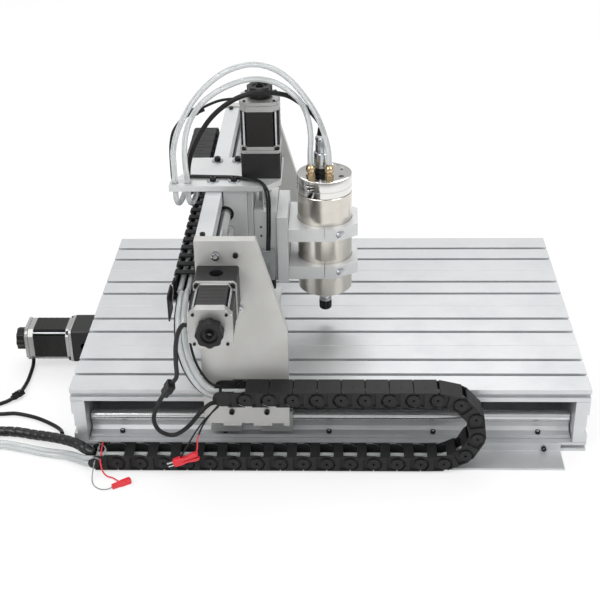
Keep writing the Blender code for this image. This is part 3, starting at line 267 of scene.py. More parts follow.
# Translucent polyurethane water tube: milky, glossy, lets some light through.
WATER_TUBE = Finish(
    "milky_polyurethane_tube", "E9ECEC", "DDE1E2", 0.0, 0.16, 0.05, Grain.EVEN, 6.0, 0.005,
    patch_mm=30.0, coat=0.3, clear=0.55,
)
# Polyethylene spiral wrap round the harness: black and smooth, with a soft gloss.
SPIRAL_WRAP = Finish(
    "polyethylene_spiral_wrap", "121213", "1C1C1D", 0.0, 0.3, 0.08, Grain.EVEN, 3.0, 0.01
)
# Black moulded plug: ABS with a fine spark-eroded texture.
PLUG_ABS = Finish(
    "moulded_abs_plug", "151516", "1E1E1E", 0.0, 0.45, 0.08, Grain.EVEN, 0.6, 0.03, specular=0.3
)
# Pale collar of the cable gland: white nylon.
WHITE_NYLON = Finish(
    "white_nylon_collar", "E6E6E3", "D8D8D4", 0.0, 0.4, 0.06, Grain.EVEN, 1.0, 0.01
)
# Sealed switch body: grey moulded plastic.
SWITCH_PLASTIC = Finish(
    "moulded_grey_switch", "8C8F90", "7B7E7F", 0.0, 0.45, 0.08, Grain.EVEN, 0.8, 0.02
)
# Red PVC boot and wire: saturated, a little glossy.
RED_PVC = Finish(
    "red_pvc_boot", "E2303C", "CF2732", 0.0, 0.35, 0.08, Grain.EVEN, 1.0, 0.01
)
# Painted shade for a bore or recess: a dark disc on the surface stands in for its shaded inside.
PAINTED_RECESS_SHADE = Finish(
    "painted_recess_shade", "2B2724", "3A3531", 0.2, 0.45, 0.1, Grain.EVEN, 2.0, 0.02
)


def facing(direction: Point) -> Matrix:
    """The turn that takes +Z to a direction."""
    return Vector((0, 0, 1)).rotation_difference(Vector(direction)).to_matrix().to_4x4()


def circle(radius: float, sides: int, centre: Flat = (0.0, 0.0)) -> list[Flat]:
    """The corners of a regular polygon of that radius."""
    return [
        (
            centre[0] + radius * math.cos(2 * math.pi * i / sides),
            centre[1] + radius * math.sin(2 * math.pi * i / sides),
        )
        for i in range(sides)
    ]


def cut_square(side: float, corner: float) -> list[Flat]:
    """The outline of a square whose corners are cut off."""
    half = side / 2
    near = half - corner
    return [
        (half, -near), (half, near), (near, half), (-near, half),
        (-half, near), (-half, -near), (-near, -half), (near, -half),
    ]


def smooth(route: Sequence[Sequence[float]], spacing: float) -> list[Vector]:
    """Points at an even spacing on a smooth curve through a route.

    Args:
        route: the places that the curve passes, in order.
        spacing: the distance between two points, about.

    Returns:
        The points, with both ends of the route.
    """
    points = [Vector(p) for p in route]
    points = [2 * points[0] - points[1], *points, 2 * points[-1] - points[-2]]
    dense = []
    for a, b, c, d in zip(points, points[1:], points[2:], points[3:]):
        for step in range(24):
            t = step / 24
            dense.append(
                0.5 * (2 * b + (c - a) * t + (2 * a - 5 * b + 4 * c - d) * t**2
                       + (3 * b - a - 3 * c + d) * t**3)
            )
    dense.append(points[-2])
    total = sum((b - a).length for a, b in zip(dense, dense[1:]))
    count = max(2, round(total / spacing))
    even = [dense[0]]
    walked = 0.0
    for a, b in zip(dense, dense[1:]):
        length = (b - a).length
        while len(even) < count and walked + length >= len(even) * total / count:
            even.append(a.lerp(b, (len(even) * total / count - walked) / length))
        walked += length
    even.append(dense[-1])
    return even


class Form:
    """Builds one mesh from solids and gives it a finish and a body."""

    def __init__(self) -> None:
        """Starts with no solids."""
        self.mesh = bmesh.new()

    def add(self, part: bmesh.types.BMesh, turn: Matrix | None = None) -> Form:
        """Adds a solid, turned by a matrix, and frees it."""
        if turn is not None:
            part.transform(turn)
        kept = bpy.data.meshes.new("kept")
        part.to_mesh(kept)
        part.free()
        self.mesh.from_mesh(kept)
        bpy.data.meshes.remove(kept)
        return self

    def box(self, low: Sequence[float], high: Sequence[float], turn: Matrix | None = None) -> Form:
        """Adds a box between two corners."""
        part = bmesh.new()
        bmesh.ops.create_cube(part, size=1.0)
        size = [abs(b - a) for a, b in zip(low, high)]
        middle = [(a + b) / 2 for a, b in zip(low, high)]
        part.transform(Matrix.Translation(middle) @ Matrix.Diagonal((*size, 1.0)))
        return self.add(part, turn)

    def turned(
        self, profile: Sequence[Flat], turn: Matrix | None = None, sides: int = 48
    ) -> Form:
        """Adds a turned solid.

        Args:
            profile: (radius, height) from the bottom of the axis round to its top; it
                starts and ends on the axis, or else closes on itself as a ring.
            turn: the matrix that takes local Z to the real axis.
            sides: how many flats it has round the axis.

        Returns:
            This form.
        """
        part = bmesh.new()
        rings = []
        for radius, height in profile:
            if radius < 1e-6:
                rings.append([part.verts.new((0.0, 0.0, height))] * sides)
                continue
            rings.append([part.verts.new((x, y, height)) for x, y in circle(radius, sides)])
        closed = profile[0][0] > 1e-6
        pairs = list(zip(rings, rings[1:])) + ([(rings[-1], rings[0])] if closed else [])
        for low, high in pairs:
            for i in range(sides):
                j = (i + 1) % sides
                corners = list(dict.fromkeys((low[i], low[j], high[j], high[i])))
                if len(corners) > 2:
                    part.faces.new(corners)
        bmesh.ops.recalc_face_normals(part, faces=part.faces)
        return self.add(part, turn)

    def rod(
        self, base: Sequence[float], direction: Point, length: float, radius: float,
        sides: int = 32, edge: float = 0.0,
    ) -> Form:
        """Adds a cylinder from its base along a direction, with both rims broken by edge."""
        rims: list[Flat] = [(0, 0), (radius - edge, 0), (radius, edge)]
        rims += [(radius, length - edge), (radius - edge, length), (0, length)]
        if edge < 1e-6:
            rims = [(0, 0), (radius, 0), (radius, length), (0, length)]
        return self.turned(rims, Matrix.Translation(base) @ facing(direction), sides)

    def slab(
        self, outline: Sequence[Flat], low: float, high: float,
        turn: Matrix | None = None, holes: Iterable[Sequence[Flat]] = (),
    ) -> Form:
        """Adds a flat outline with holes, thickened along local Z."""
        curve = bpy.data.curves.new("outline", "CURVE")
        curve.dimensions = "2D"
        curve.fill_mode = "BOTH"
        curve.extrude = (high - low) / 2
        for loop in (outline, *holes):
            spline = curve.splines.new("POLY")
            spline.points.add(len(loop) - 1)
            spline.use_cyclic_u = True
            for slot, (u, v) in zip(spline.points, loop):
                slot.co = (u, v, 0.0, 1.0)
        holder = bpy.data.objects.new("outline", curve)
        bpy.context.scene.collection.objects.link(holder)
        graph = bpy.context.evaluated_depsgraph_get()
        flat = bpy.data.meshes.new_from_object(holder.evaluated_get(graph))
        bpy.data.objects.remove(holder)
        bpy.data.curves.remove(curve)
        part = bmesh.new()
        part.from_mesh(flat)
        bpy.data.meshes.remove(flat)
        bmesh.ops.remove_doubles(part, verts=part.verts, dist=1e-4)
        bmesh.ops.dissolve_limit(part, angle_limit=0.01, verts=part.verts, edges=part.edges)
        bmesh.ops.recalc_face_normals(part, faces=part.faces)
        part.transform(Matrix.Translation((0, 0, (low + high) / 2)))
        return self.add(part, turn)

    def tube(
        self, points: Sequence[Vector], radius: float, sides: int = 16,
        ridge: float = 0.0, pitch: float = 1.0,
    ) -> Form:
        """Adds a round tube along points, with a spiral ridge where one is asked for."""
        part = bmesh.new()
        ahead = [(b - a).normalized() for a, b in zip(points, points[1:])]
        ahead.append(ahead[-1])
        side = ahead[0].orthogonal().normalized()
        rings = []
        walked = 0.0
        for index, point in enumerate(points):
            forward = (ahead[index] + ahead[max(0, index - 1)]).normalized()
            side = (side - forward * side.dot(forward)).normalized()
            up = forward.cross(side)
            ring = []
            for i in range(sides):
                angle = 2 * math.pi * i / sides
                wave = math.cos(angle - 2 * math.pi * walked / pitch) if ridge else 0.0
                reach = radius - ridge * max(0.0, wave) ** 6
                ring.append(part.verts.new(
                    point + (side * math.cos(angle) + up * math.sin(angle)) * reach
                ))
            rings.append(ring)
            if index + 1 < len(points):
                walked += (points[index + 1] - point).length
        for low, high in zip(rings, rings[1:]):
            for i in range(sides):
                j = (i + 1) % sides
                part.faces.new((low[i], low[j], high[j], high[i]))
        part.faces.new(rings[0][::-1])
        part.faces.new(rings[-1])
        bmesh.ops.recalc_face_normals(part, faces=part.faces)
        return self.add(part)

    def done(
        self, name: str, finish: Finish, body: str = "", slot: str = "",
        bevel: float = 0.0, turn: Matrix | None = None,
    ) -> bpy.types.Object:
        """Makes the object, in the frame's metres, with its finish and its body.

        Args:
            name: the object's name.
            finish: its finish.
            body: the CAD body that it rides on, or nothing when the caller does that.
            slot: a material slot's name, which is not used.
            bevel: the width of its broken edges, in millimetres.
            turn: a last turn of the whole form, in millimetres.

        Returns:
            The object, at the origin with its place in its mesh.
        """
        if turn is not None:
            self.mesh.transform(turn)
        self.mesh.transform(Matrix.Scale(MM, 4) @ Matrix.Translation(TABLE_CENTRE))
        made = bpy.data.meshes.new(name)
        self.mesh.to_mesh(made)
        self.mesh.free()
        made.materials.append(finish.material())
        made.shade_smooth()
        made.set_sharp_from_angle(angle=math.radians(32))
        piece = bpy.data.objects.new(name, made)
        bpy.context.scene.collection.objects.link(piece)
        if bevel:
            add_bevel(piece, bevel)
        if body:
            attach(piece, body)
        log.info("%s: %d points", name, len(made.vertices))
        return piece


def add_bevel(piece: bpy.types.Object, width: float, segments: int = 2) -> None:
    """Breaks a piece's sharp edges by a width in millimetres."""
    cut = piece.modifiers.new("edges", "BEVEL")
    cut.width = width * MM
    cut.segments = segments
    cut.limit_method = "ANGLE"
    cut.angle_limit = math.radians(40)
    cut.use_clamp_overlap = True
    cut.harden_normals = True


@dataclass(frozen=True)
class Spot:
    """A place for one copy of a repeated piece, with its turn in radians and its size."""

    place: Point
    turn: Point = (0.0, 0.0, 0.0)
    size: float = 1.0


class Repeat:
    """Copies one unit to many spots with Geometry Nodes, and bakes them to one mesh."""

    def __init__(self, unit: bpy.types.Object, finish: Finish) -> None:
        """Builds the node tree for one unit and one finish."""
        self.unit = unit
        self.finish = finish
        self.tree = bpy.data.node_groups.new(f"copies of {unit.name}", "GeometryNodeTree")
        face = self.tree.interface
        face.new_socket("Geometry", in_out="INPUT", socket_type="NodeSocketGeometry")
        self.source = face.new_socket("Unit", in_out="INPUT", socket_type="NodeSocketObject")
        self.scale = face.new_socket("Scale", in_out="INPUT", socket_type="NodeSocketFloat")
        self.coat = face.new_socket("Finish", in_out="INPUT", socket_type="NodeSocketMaterial")
        face.new_socket("Geometry", in_out="OUTPUT", socket_type="NodeSocketGeometry")
        given = add_node(self.tree, "NodeGroupInput").outputs
        points = add_node(self.tree, "GeometryNodeMeshToPoints", Mesh=given["Geometry"])
        copied = add_node(
            self.tree, "GeometryNodeObjectInfo", transform_space="ORIGINAL", Object=given["Unit"]
        )
        turn = add_node(
            self.tree, "GeometryNodeInputNamedAttribute", data_type="FLOAT_VECTOR", Name="turn"
        ).outputs["Attribute"]
        size = add_node(
            self.tree, "GeometryNodeInputNamedAttribute", data_type="FLOAT", Name="size"
        ).outputs["Attribute"]
        scaled = add_node(
            self.tree, "ShaderNodeMath", operation="MULTIPLY", in_0=size, in_1=given["Scale"]
        ).outputs[0]
        placed = add_node(
            self.tree, "GeometryNodeInstanceOnPoints", Points=points.outputs[0],
            Instance=copied.outputs["Geometry"], Rotation=turn, Scale=scaled,
        )
        real = add_node(
            self.tree, "GeometryNodeRealizeInstances", Geometry=placed.outputs[0]
        )
        dressed = add_node(
            self.tree, "GeometryNodeSetMaterial", Geometry=real.outputs[0],
            Material=given["Finish"],
        )
        add_node(self.tree, "NodeGroupOutput", Geometry=dressed.outputs[0])

    def bake(
        self, name: str, body: str, spots: Sequence[Spot]
    ) -> bpy.types.Object:
        """Makes one plain mesh of all the copies that ride on one body.

        Args:
            name: the object's name.
            body: the CAD body, or nothing to leave the object on no body.
            spots: where the copies go, in millimetres.

        Returns:
            The baked object.
        """
        holder = bpy.data.meshes.new(name)
        holder.from_pydata([at(s.place) for s in spots], [], [])
        turns = holder.attributes.new("turn", "FLOAT_VECTOR", "POINT")
        turns.data.foreach_set("vector", [a for s in spots for a in s.turn])
        sizes = holder.attributes.new("size", "FLOAT", "POINT")
        sizes.data.foreach_set("value", [s.size for s in spots])
        piece = bpy.data.objects.new(name, holder)
        bpy.context.scene.collection.objects.link(piece)
        nodes = piece.modifiers.new("copies", "NODES")
        nodes.node_group = self.tree
        nodes[self.source.identifier] = self.unit
        nodes[self.scale.identifier] = 1.0
        nodes[self.coat.identifier] = self.finish.material()
        graph = bpy.context.evaluated_depsgraph_get()
        graph.update()
        baked = bpy.data.meshes.new_from_object(piece.evaluated_get(graph))
        piece.modifiers.remove(nodes)
        piece.data = baked
        bpy.data.meshes.remove(holder)
        baked.name = name
        for spare in ("turn", "size"):
            if spare in baked.attributes:
                baked.attributes.remove(baked.attributes[spare])
        baked.shade_smooth()
        baked.set_sharp_from_angle(angle=math.radians(32))
        if body:
            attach(piece, body)
        log.info("%s: %d copies", name, len(spots))
        return piece


def unit_of(form: Form, name: str, finish: Finish) -> bpy.types.Object:
    """A form as a unit for Repeat: in metres round its own origin and outside the render."""
    form.mesh.transform(Matrix.Scale(MM, 4))
    made = bpy.data.meshes.new(name)
    form.mesh.to_mesh(made)
    form.mesh.free()
    made.materials.append(finish.material())
    unit = bpy.data.objects.new(name, made)
    unit.hide_render = True
    bpy.context.scene.collection.objects.link(unit)
    UNITS.append(unit)
    return unit


UNITS: list[bpy.types.Object] = []


@dataclass
class Studio:
    """Camera, floor, lamps and world."""

    camera_place: Point = (0.088339, -1.615331, 1.051153)
    pitch: float = 29.117
    yaw: float = -2.3107
    roll: float = -1.154
    lens: float = 73.513
    lamps: list[tuple[Point, float, float]] = field(
        default_factory=lambda: [
            ((-1.6, -1.7, 2.6), 1.9, 46.0),
            ((1.9, -1.1, 2.2), 1.5, 26.0),
            ((0.2, 1.8, 2.8), 2.2, 34.0),
        ]
    )

    def build(self) -> None:
        """Sets up the whole stage."""
        self.camera()
        self.light()
        self.floor()
        bpy.context.scene.view_settings.view_transform = "Standard"

    def camera(self) -> None:
        """The camera, by its pitch, yaw and roll."""
        pitch, yaw, roll = (math.radians(a) for a in (self.pitch, self.yaw, self.roll))
        ahead = Vector((
            math.sin(yaw) * math.cos(pitch), math.cos(yaw) * math.cos(pitch), -math.sin(pitch)
        ))
        right = Vector((math.cos(yaw), -math.sin(yaw), 0))
        up = right.cross(ahead)
        across = math.cos(roll) * right + math.sin(roll) * up
        upward = -math.sin(roll) * right + math.cos(roll) * up
        lens = bpy.data.cameras.new("camera")
        lens.sensor_width = 36.0
        lens.lens = self.lens
        lens.clip_end = 50.0
        eye = bpy.data.objects.new("camera", lens)
        turn = Matrix((across, upward, -ahead)).transposed().to_4x4()
        eye.matrix_world = Matrix.Translation(self.camera_place) @ turn
        bpy.context.scene.collection.objects.link(eye)
        bpy.context.scene.camera = eye

    def light(self) -> None:
        """Large soft lamps and a pale world."""
        for index, (place, size, power) in enumerate(self.lamps):
            lamp = bpy.data.lights.new(f"lamp_{index}", "AREA")
            lamp.shape = "SQUARE"
            lamp.size = size
            lamp.energy = power
            holder = bpy.data.objects.new(f"lamp_{index}", lamp)
            aim = Vector((0, 0, 0.15)) - Vector(place)
            holder.matrix_world = Matrix.Translation(place) @ aim.to_track_quat(
                "-Z", "Y"
            ).to_matrix().to_4x4()
            bpy.context.scene.collection.objects.link(holder)
        world = bpy.data.worlds.new("studio")
        bpy.context.scene.world = world
        world.use_nodes = True
        tree = world.node_tree
        tree.nodes.clear()
        rays = add_node(tree, "ShaderNodeLightPath")
        where = add_node(tree, "ShaderNodeTexCoord").outputs["Generated"]
        height = add_node(tree, "ShaderNodeSeparateXYZ", Vector=where).outputs["Z"]
        tone = add_node(
            tree, "ShaderNodeMapRange", Value=height, From_Min=-0.1, From_Max=0.9,
            To_Min=0.42, To_Max=0.78,
        ).outputs[0]
        soft = add_node(tree, "ShaderNodeBackground", Color=(1, 1, 1, 1), Strength=tone)
        white = add_node(tree, "ShaderNodeBackground", Color=(1, 1, 1, 1), Strength=1.0)
        mixed = add_node(
            tree, "ShaderNodeMixShader", in_0=rays.outputs["Is Camera Ray"],
            in_1=soft.outputs[0], in_2=white.outputs[0],
        )
        add_node(tree, "ShaderNodeOutputWorld", Surface=mixed.outputs[0])

    def floor(self) -> None:
        """A wide pale floor that keeps the object's shadow and fades to white far away."""
        sheet = bpy.data.meshes.new("floor")
        sheet.from_pydata([(-9, -9, 0), (9, -9, 0), (9, 9, 0), (-9, 9, 0)], [], [(0, 1, 2, 3)])
        ground = bpy.data.objects.new("floor", sheet)
        paint = bpy.data.materials.new("pale_floor")
        paint.use_nodes = True
        tree = paint.node_tree
        shader = tree.nodes["Principled BSDF"]
        shader.inputs["Base Color"].default_value = colour("F4F4F4")
        shader.inputs["Roughness"].default_value = 0.9
        rays = add_node(tree, "ShaderNodeLightPath")
        glow = add_node(tree, "ShaderNodeEmission", Color=(1, 1, 1, 1), Strength=1.0)
        where = add_node(tree, "ShaderNodeTexCoord").outputs["Object"]
        away = add_node(tree, "ShaderNodeVectorMath", operation="LENGTH", in_0=where)
        fade = add_node(
            tree, "ShaderNodeMapRange", Value=away.outputs["Value"], From_Min=1.2,
            From_Max=3.0, To_Min=0.62, To_Max=1.0,
        ).outputs[0]
        share = add_node(
            tree, "ShaderNodeMath", operation="MULTIPLY",
            in_0=rays.outputs["Is Camera Ray"], in_1=fade,
        ).outputs[0]
        mixed = add_node(
            tree, "ShaderNodeMixShader", in_0=share, in_1=shader.outputs[0],
            in_2=glow.outputs[0],
        )
        tree.links.new(mixed.outputs[0], tree.nodes["Material Output"].inputs["Surface"])
        sheet.materials.append(paint)
        bpy.context.scene.collection.objects.link(ground)


@dataclass(frozen=True)
class Dress:
    """How one CAD node is finished."""

    finish: Finish
    edge: float = 0.4


@dataclass
class CadFinishes:
    """Real finishes and broken edges for the CAD nodes that stay."""

    dresses: dict[str, Dress] = field(default_factory=lambda: {
        "worktable": Dress(TABLE_ALUMINIUM, 0.35),
        "end_beam": Dress(TABLE_ALUMINIUM, 0.5),
        "base_profile": Dress(TABLE_ALUMINIUM, 0.4),
        "rail_bearing": Dress(PLATE_ALUMINIUM, 0.6),
        "rail": Dress(TABLE_ALUMINIUM, 0.3),
        "chain_tray": Dress(TABLE_ALUMINIUM, 0.3),
        "long_motor_mount": Dress(BLACK_ANODISED, 0.5),
        "cross_motor_mount": Dress(BLACK_ANODISED, 0.5),
        "upright_motor_mount": Dress(BLACK_ANODISED, 0.5),
        "long_ball_screw": Dress(ROLLED_STEEL, 0.2),
        "cross_ball_screw": Dress(ROLLED_STEEL, 0.2),
        "upright_ball_screw": Dress(ROLLED_STEEL, 0.2),
        "long_nut_housing": Dress(PLATE_ALUMINIUM, 0.5),
        "gantry_side": Dress(WARM_PLATE, 0.8),
        "gantry_cross_plate": Dress(PLATE_ALUMINIUM, 0.5),
        "gantry_channel": Dress(TABLE_ALUMINIUM, 0.4),
        "cross_rod": Dress(GROUND_STEEL, 0.4),
        "cross_chain_tray": Dress(PLATE_ALUMINIUM, 0.3),
        "carriage_block": Dress(PLATE_ALUMINIUM, 0.6),
        "carriage_top_plate": Dress(PLATE_ALUMINIUM, 0.5),
        "upright_frame": Dress(PLATE_ALUMINIUM, 0.5),
        "upright_rod": Dress(GROUND_STEEL, 0.4),
        "upright_slide": Dress(PLATE_ALUMINIUM, 0.6),
        "spindle_mount_plate": Dress(PLATE_ALUMINIUM, 0.6),
        "spindle_clamp": Dress(PLATE_ALUMINIUM, 0.7),
        "limit_switch": Dress(SWITCH_PLASTIC, 0.5),
    })

    def build(self, nodes: dict[str, bpy.types.Object]) -> None:
        """Finishes every node whose name starts with a dress's name, longest name first."""
        order = sorted(self.dresses, key=len, reverse=True)
        for name, node in nodes.items():
            found = next((key for key in order if name.startswith(key)), None)
            if found is None:
                continue
            dress = self.dresses[found]
            node.data.materials.clear()
            node.data.materials.append(dress.finish.material())
            self.break_edges(node, dress.edge)

    def break_edges(self, node: bpy.types.Object, width: float) -> None:
        """Joins the loose triangles, merges flat ones and breaks the edges.

        Args:
            node: the CAD node's object.
            width: the edges' width in millimetres.
        """
        weld = node.modifiers.new("weld", "WELD")
        weld.merge_threshold = 0.01 * MM
        flat = node.modifiers.new("flat faces", "DECIMATE")
        flat.decimate_type = "DISSOLVE"
        flat.angle_limit = math.radians(0.6)
        add_bevel(node, width)


@dataclass
class Drive:
    """A stepper motor with its hand grip, on one screw axis."""

    name: str
    direction: Point
    face: Point
    body: str
    screw_body: str
    side: float = 56.4
    length: float = 75.7
    flange: float = 10.0
    cap: float = 14.0
    grip_radius: float = 18.0
    grip_length: float = 17.0
    lobes: int = 8

    def axis(self) -> Matrix:
        """The turn from the motor's own frame, with Z away from its mount."""
        return Matrix.Translation(self.face) @ facing(self.direction)

    def build(self, screws: Repeat) -> None:
        """Builds the motor's pieces and the grip."""
        castings = self.castings()
        stack = self.stack()
        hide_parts(f"{self.name}_motor")
        log.info("%s motor: %s and %s", self.name, castings.name, stack.name)
        self.screws(screws)
        self.grip()

    def castings(self) -> bpy.types.Object:
        """The front flange with its step and the rear end bell, both cast."""
        turn = self.axis()
        form = Form()
        form.slab(cut_square(self.side, 3.2), 0.1, 4.8, turn)
        form.slab(cut_square(self.side - 1.4, 9.6), 4.8, self.flange + 0.2, turn)
        top = self.length - 0.1
        form.slab(cut_square(self.side - 1.4, 9.6), top - self.cap, top - 5.2, turn)
        form.slab(self.notched(), top - 5.2, top, turn)
        return form.done(f"{self.name}_motor_castings", CAST_END_BELL, self.body,
                         "frame_aluminium", bevel=0.7)

    def notched(self) -> list[Flat]:
        """The rear bell's outline, with a small step in each cut corner."""
        half = self.side / 2
        outline: list[Flat] = []
        for quarter in range(4):
            for u, v in (
                (half, -half + 8.6), (half, half - 8.6), (half - 3.0, half - 8.6),
                (half - 3.4, half - 6.8), (half - 6.8, half - 3.4), (half - 8.6, half - 3.0),
            ):
                for _ in range(quarter):
                    u, v = -v, u
                outline.append((u, v))
        return outline

    def stack(self) -> bpy.types.Object:
        """The laminated stator with hollow corners, in thin layers."""
        turn = self.axis()
        low, high = self.flange + 0.3, self.length - self.cap - 0.2
        half = self.side / 2 - 0.9
        form = Form()
        layers = 11
        step = (high - low) / layers
        for index in range(layers):
            inset = 0.18 if index % 2 else 0.0
            near = half - 8.6
            outline: list[Flat] = []
            for quarter in range(4):
                for u, v in (
                    (half - inset, -near), (half - inset, near),
                    (half - 5.4, near + 0.4), (half - 7.4, half - 7.4), (near + 0.4, half - 5.4),
                ):
                    for _ in range(quarter):
                        u, v = -v, u
                    outline.append((u, v))
            form.slab(outline, low + index * step, low + (index + 1) * step, turn)
        form.slab(circle(9.0, 24), self.length - 0.1, self.length + 0.2, turn)
        made = form.done(f"{self.name}_motor_stack", LACQUERED_STACK, self.body, "motor_black",
                         bevel=0.25)
        return made

    def screws(self, repeat: Repeat) -> None:
        """Four cap screws in the rear bell and four on the flange."""
        turn = self.axis()
        euler = turn.to_euler()
        angles = (euler.x, euler.y, euler.z)
        spots = []
        for across in (-1, 1):
            for up in (-1, 1):
                for reach, height, size in (
                    (23.6, 4.9, 0.8), (20.9, self.length - 0.5, 0.5),
                ):
                    place = turn @ Vector((across * reach, up * reach, height))
                    spots.append(Spot((place.x, place.y, place.z), angles, size))
        repeat.bake(f"{self.name}_motor_screws", self.body, spots)
        bolts = Form()
        for across in (-1, 1):
            for up in (-1, 1):
                bolts.rod((across * 22.0, up * 22.0, self.flange), (0, 0, 1),
                          self.length - self.cap - self.flange, 1.9, 16)
        bolts.done(f"{self.name}_motor_bolts", ZINC_PLATE, self.body, "bright_steel", turn=turn)

    def grip(self) -> None:
        """The lobed grip with its dished face and boss, and the motor's rear shaft."""
        sides = 12 * self.lobes
        outline = []
        for i in range(sides):
            angle = 2 * math.pi * i / sides
            reach = self.grip_radius - 0.9 + 0.9 * math.cos(self.lobes * angle)
            outline.append((reach * math.cos(angle), reach * math.sin(angle)))
        low = self.length + 0.6
        high = low + self.grip_length - 0.4
        turn = self.axis()
        form = Form()
        form.slab(outline, low + 1.2, high - 0.8, turn, (circle(11.6, 48),))
        shell = [(4.0, low), (10.5, low), (12.4, low + 3.2), (12.4, high - 2.4), (11.4, high - 1.0),
                 (10.6, high - 1.4), (9.4, high - 3.6), (5.4, high - 4.2), (4.9, high),
                 (4.0, high)]
        form.turned(shell, turn, 48)
        grip = form.done(f"{self.name}_grip", GRIP_PHENOLIC, self.screw_body, "black_plastic",
                         bevel=1.3)
        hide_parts(f"{self.name}_hand_knob")
        pin = Form()
        pin.rod((0, 0, low + 0.2), (0, 0, 1), high - low - 7.0, 3.7, 24, 0.5)
        pin.done(f"{self.name}_rear_shaft", GROUND_STEEL, self.screw_body, "bright_steel",
                 turn=turn)


@dataclass
class Chain:
    """A cable chain: links on their pins, with the hoses that lie in it."""

    name: str
    start: float
    bend: float
    low: float
    high: float
    end: float
    pitch: float
    near: float
    far: float
    fixed: int
    moving: int
    along_y: bool
    bodies: tuple[str, str]
    nodes: tuple[str, str, str]

    def pins(self) -> list[Flat]:
        """Pins from the fixed end along the lower run, round the bend and back."""
        radius = (self.high - self.low) / 2
        straight = self.bend - self.start
        arc = math.pi * radius
        total = straight + arc + (self.bend - self.end)
        count = round(total / self.pitch)
        found: list[Flat] = []
        for i in range(count + 1):
            run = i * total / count
            if run <= straight:
                found.append((self.start + run, self.low))
            elif run <= straight + arc:
                angle = (run - straight) / radius
                found.append((
                    self.bend + radius * math.sin(angle),
                    self.low + radius - radius * math.cos(angle),
                ))
            else:
                found.append((self.bend - (run - straight - arc), self.high))
        return found

    def place(self, along: float, across: float, height: float) -> Point:
        """A place from its distance along the chain's axis, across it and up."""
        return (across, along, height) if self.along_y else (along, across, height)

    def unit(self, pitch: float, lid: bool = True, open_side: int = 1) -> bpy.types.Object:
        """One link round its middle: two pairs of cheeks, pin discs and two cross bars.

        Args:
            pitch: the distance between its pins.
            lid: False for an end link, which is open for the cables to come out.
            open_side: 1 when an end link is open above, -1 when it is open below.

        Returns:
            The unit.
        """
        half, width = pitch / 2, (self.far - self.near) / 2
        form = Form()
        lie = Matrix.Rotation(math.pi / 2, 4, "X")
        tall = 11.6
        for out in (-1, 1):
            for mid in (-1, 1):
                outline = [
                    (mid * half + tall * math.cos(a), tall * math.sin(a))
                    for a in (mid * math.pi * (k / 10 - 0.5) for k in range(11))
                ]
                reach = 2.0
                outline += [(-mid * reach, outline[-1][1]), (-mid * reach, outline[0][1])]
                if mid < 0:
                    outline = outline[::-1]
                gap = 2.5 if mid > 0 else 0.0
                face = out * (width - gap)
                back = face - out * 2.3
                form.slab(outline, min(face, back), max(face, back), lie)
            rim = out * width
            low_face, high_face = sorted((rim - out * 0.2, rim + out * 0.35))
            form.slab(
                circle(9.2, 8, (-half, 0.0)), low_face, high_face, lie,
                (circle(1.7, 12, (-half, 0.0)),),
            )
        for up, reach in ((-1, 0.485), (1, 0.21)):
            if not lid and up * open_side > 0:
                continue
            low, high = up * 9.6, up * 11.9
            form.box(
                (-pitch * reach, -width + 0.3, min(low, high)),
                (pitch * reach, width - 0.3, max(low, high)),
            )
            form.box(
                (-pitch * 0.05, -width * 0.3, min(low, high + up * 0.25)),
                (pitch * 0.05, width * 0.3, max(low, high + up * 0.25)),
            )
        unit = unit_of(form, f"{self.name}_link_{lid}_{open_side}", CHAIN_NYLON)
        add_bevel(unit, 0.35, 1)
        return unit

    def build(self) -> None:
        """Builds the fixed run, the bend and the moving run, each with its hoses."""
        pins = self.pins()
        links = list(zip(pins, pins[1:]))
        first = math.hypot(links[0][1][0] - links[0][0][0], links[0][1][1] - links[0][0][1])
        repeat = Repeat(self.unit(first), CHAIN_NYLON)
        start_link = Repeat(self.unit(first, False), CHAIN_NYLON)
        end_link = Repeat(self.unit(first, False, -1), CHAIN_NYLON)
        cut = len(links) - self.moving
        spans = ((0, self.fixed), (self.fixed, cut), (cut, len(links)))
        middle = (self.near + self.far) / 2
        body_of_run = (self.bodies[0], "", self.bodies[1])
        for index, (low, high) in enumerate(spans):
            if low == high:
                continue
            spots = []
            for a, b in links[low:high]:
                angle = math.atan2(b[1] - a[1], b[0] - a[0])
                place = self.place((a[0] + b[0]) / 2, middle, (a[1] + b[1]) / 2)
                turn = (0.0, -angle, math.pi / 2 if self.along_y else 0.0)
                spots.append(Spot(place, turn))
            label = ("fixed_links", "bend_links", "moving_links")[index]
            if low == 0:
                start_link.bake(f"{self.name}_start_link", body_of_run[index], spots[:1])
                spots = spots[1:]
            if high == len(links) and self.moving:
                end_link.bake(f"{self.name}_end_link", body_of_run[index], spots[-1:])
                spots = spots[:-1]
            piece = repeat.bake(
                f"{self.name}_{label}", body_of_run[index], spots
            )
            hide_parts(self.nodes[index])
            lines = self.lines(label, pins[low : high + 1], body_of_run[index])
            if not body_of_run[index]:
                for part in (piece, lines):
                    at(self.place(self.bend, middle, self.low))
                    at(self.place(self.bend, middle, self.high))
                    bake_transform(part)

    def lines(self, label: str, pins: Sequence[Flat], body: str) -> bpy.types.Object:
        """Two water tubes that lie side by side in a run."""
        form = Form()
        width = self.far - self.near
        for share in (0.3, 0.62):
            across = self.near + width * share
            form.tube(smooth([self.place(a, across, z) for a, z in pins], 8.0), 4.0, 12)
        return form.done(f"{self.name}_{label}_tubes", WATER_TUBE, body, "clear_tube")


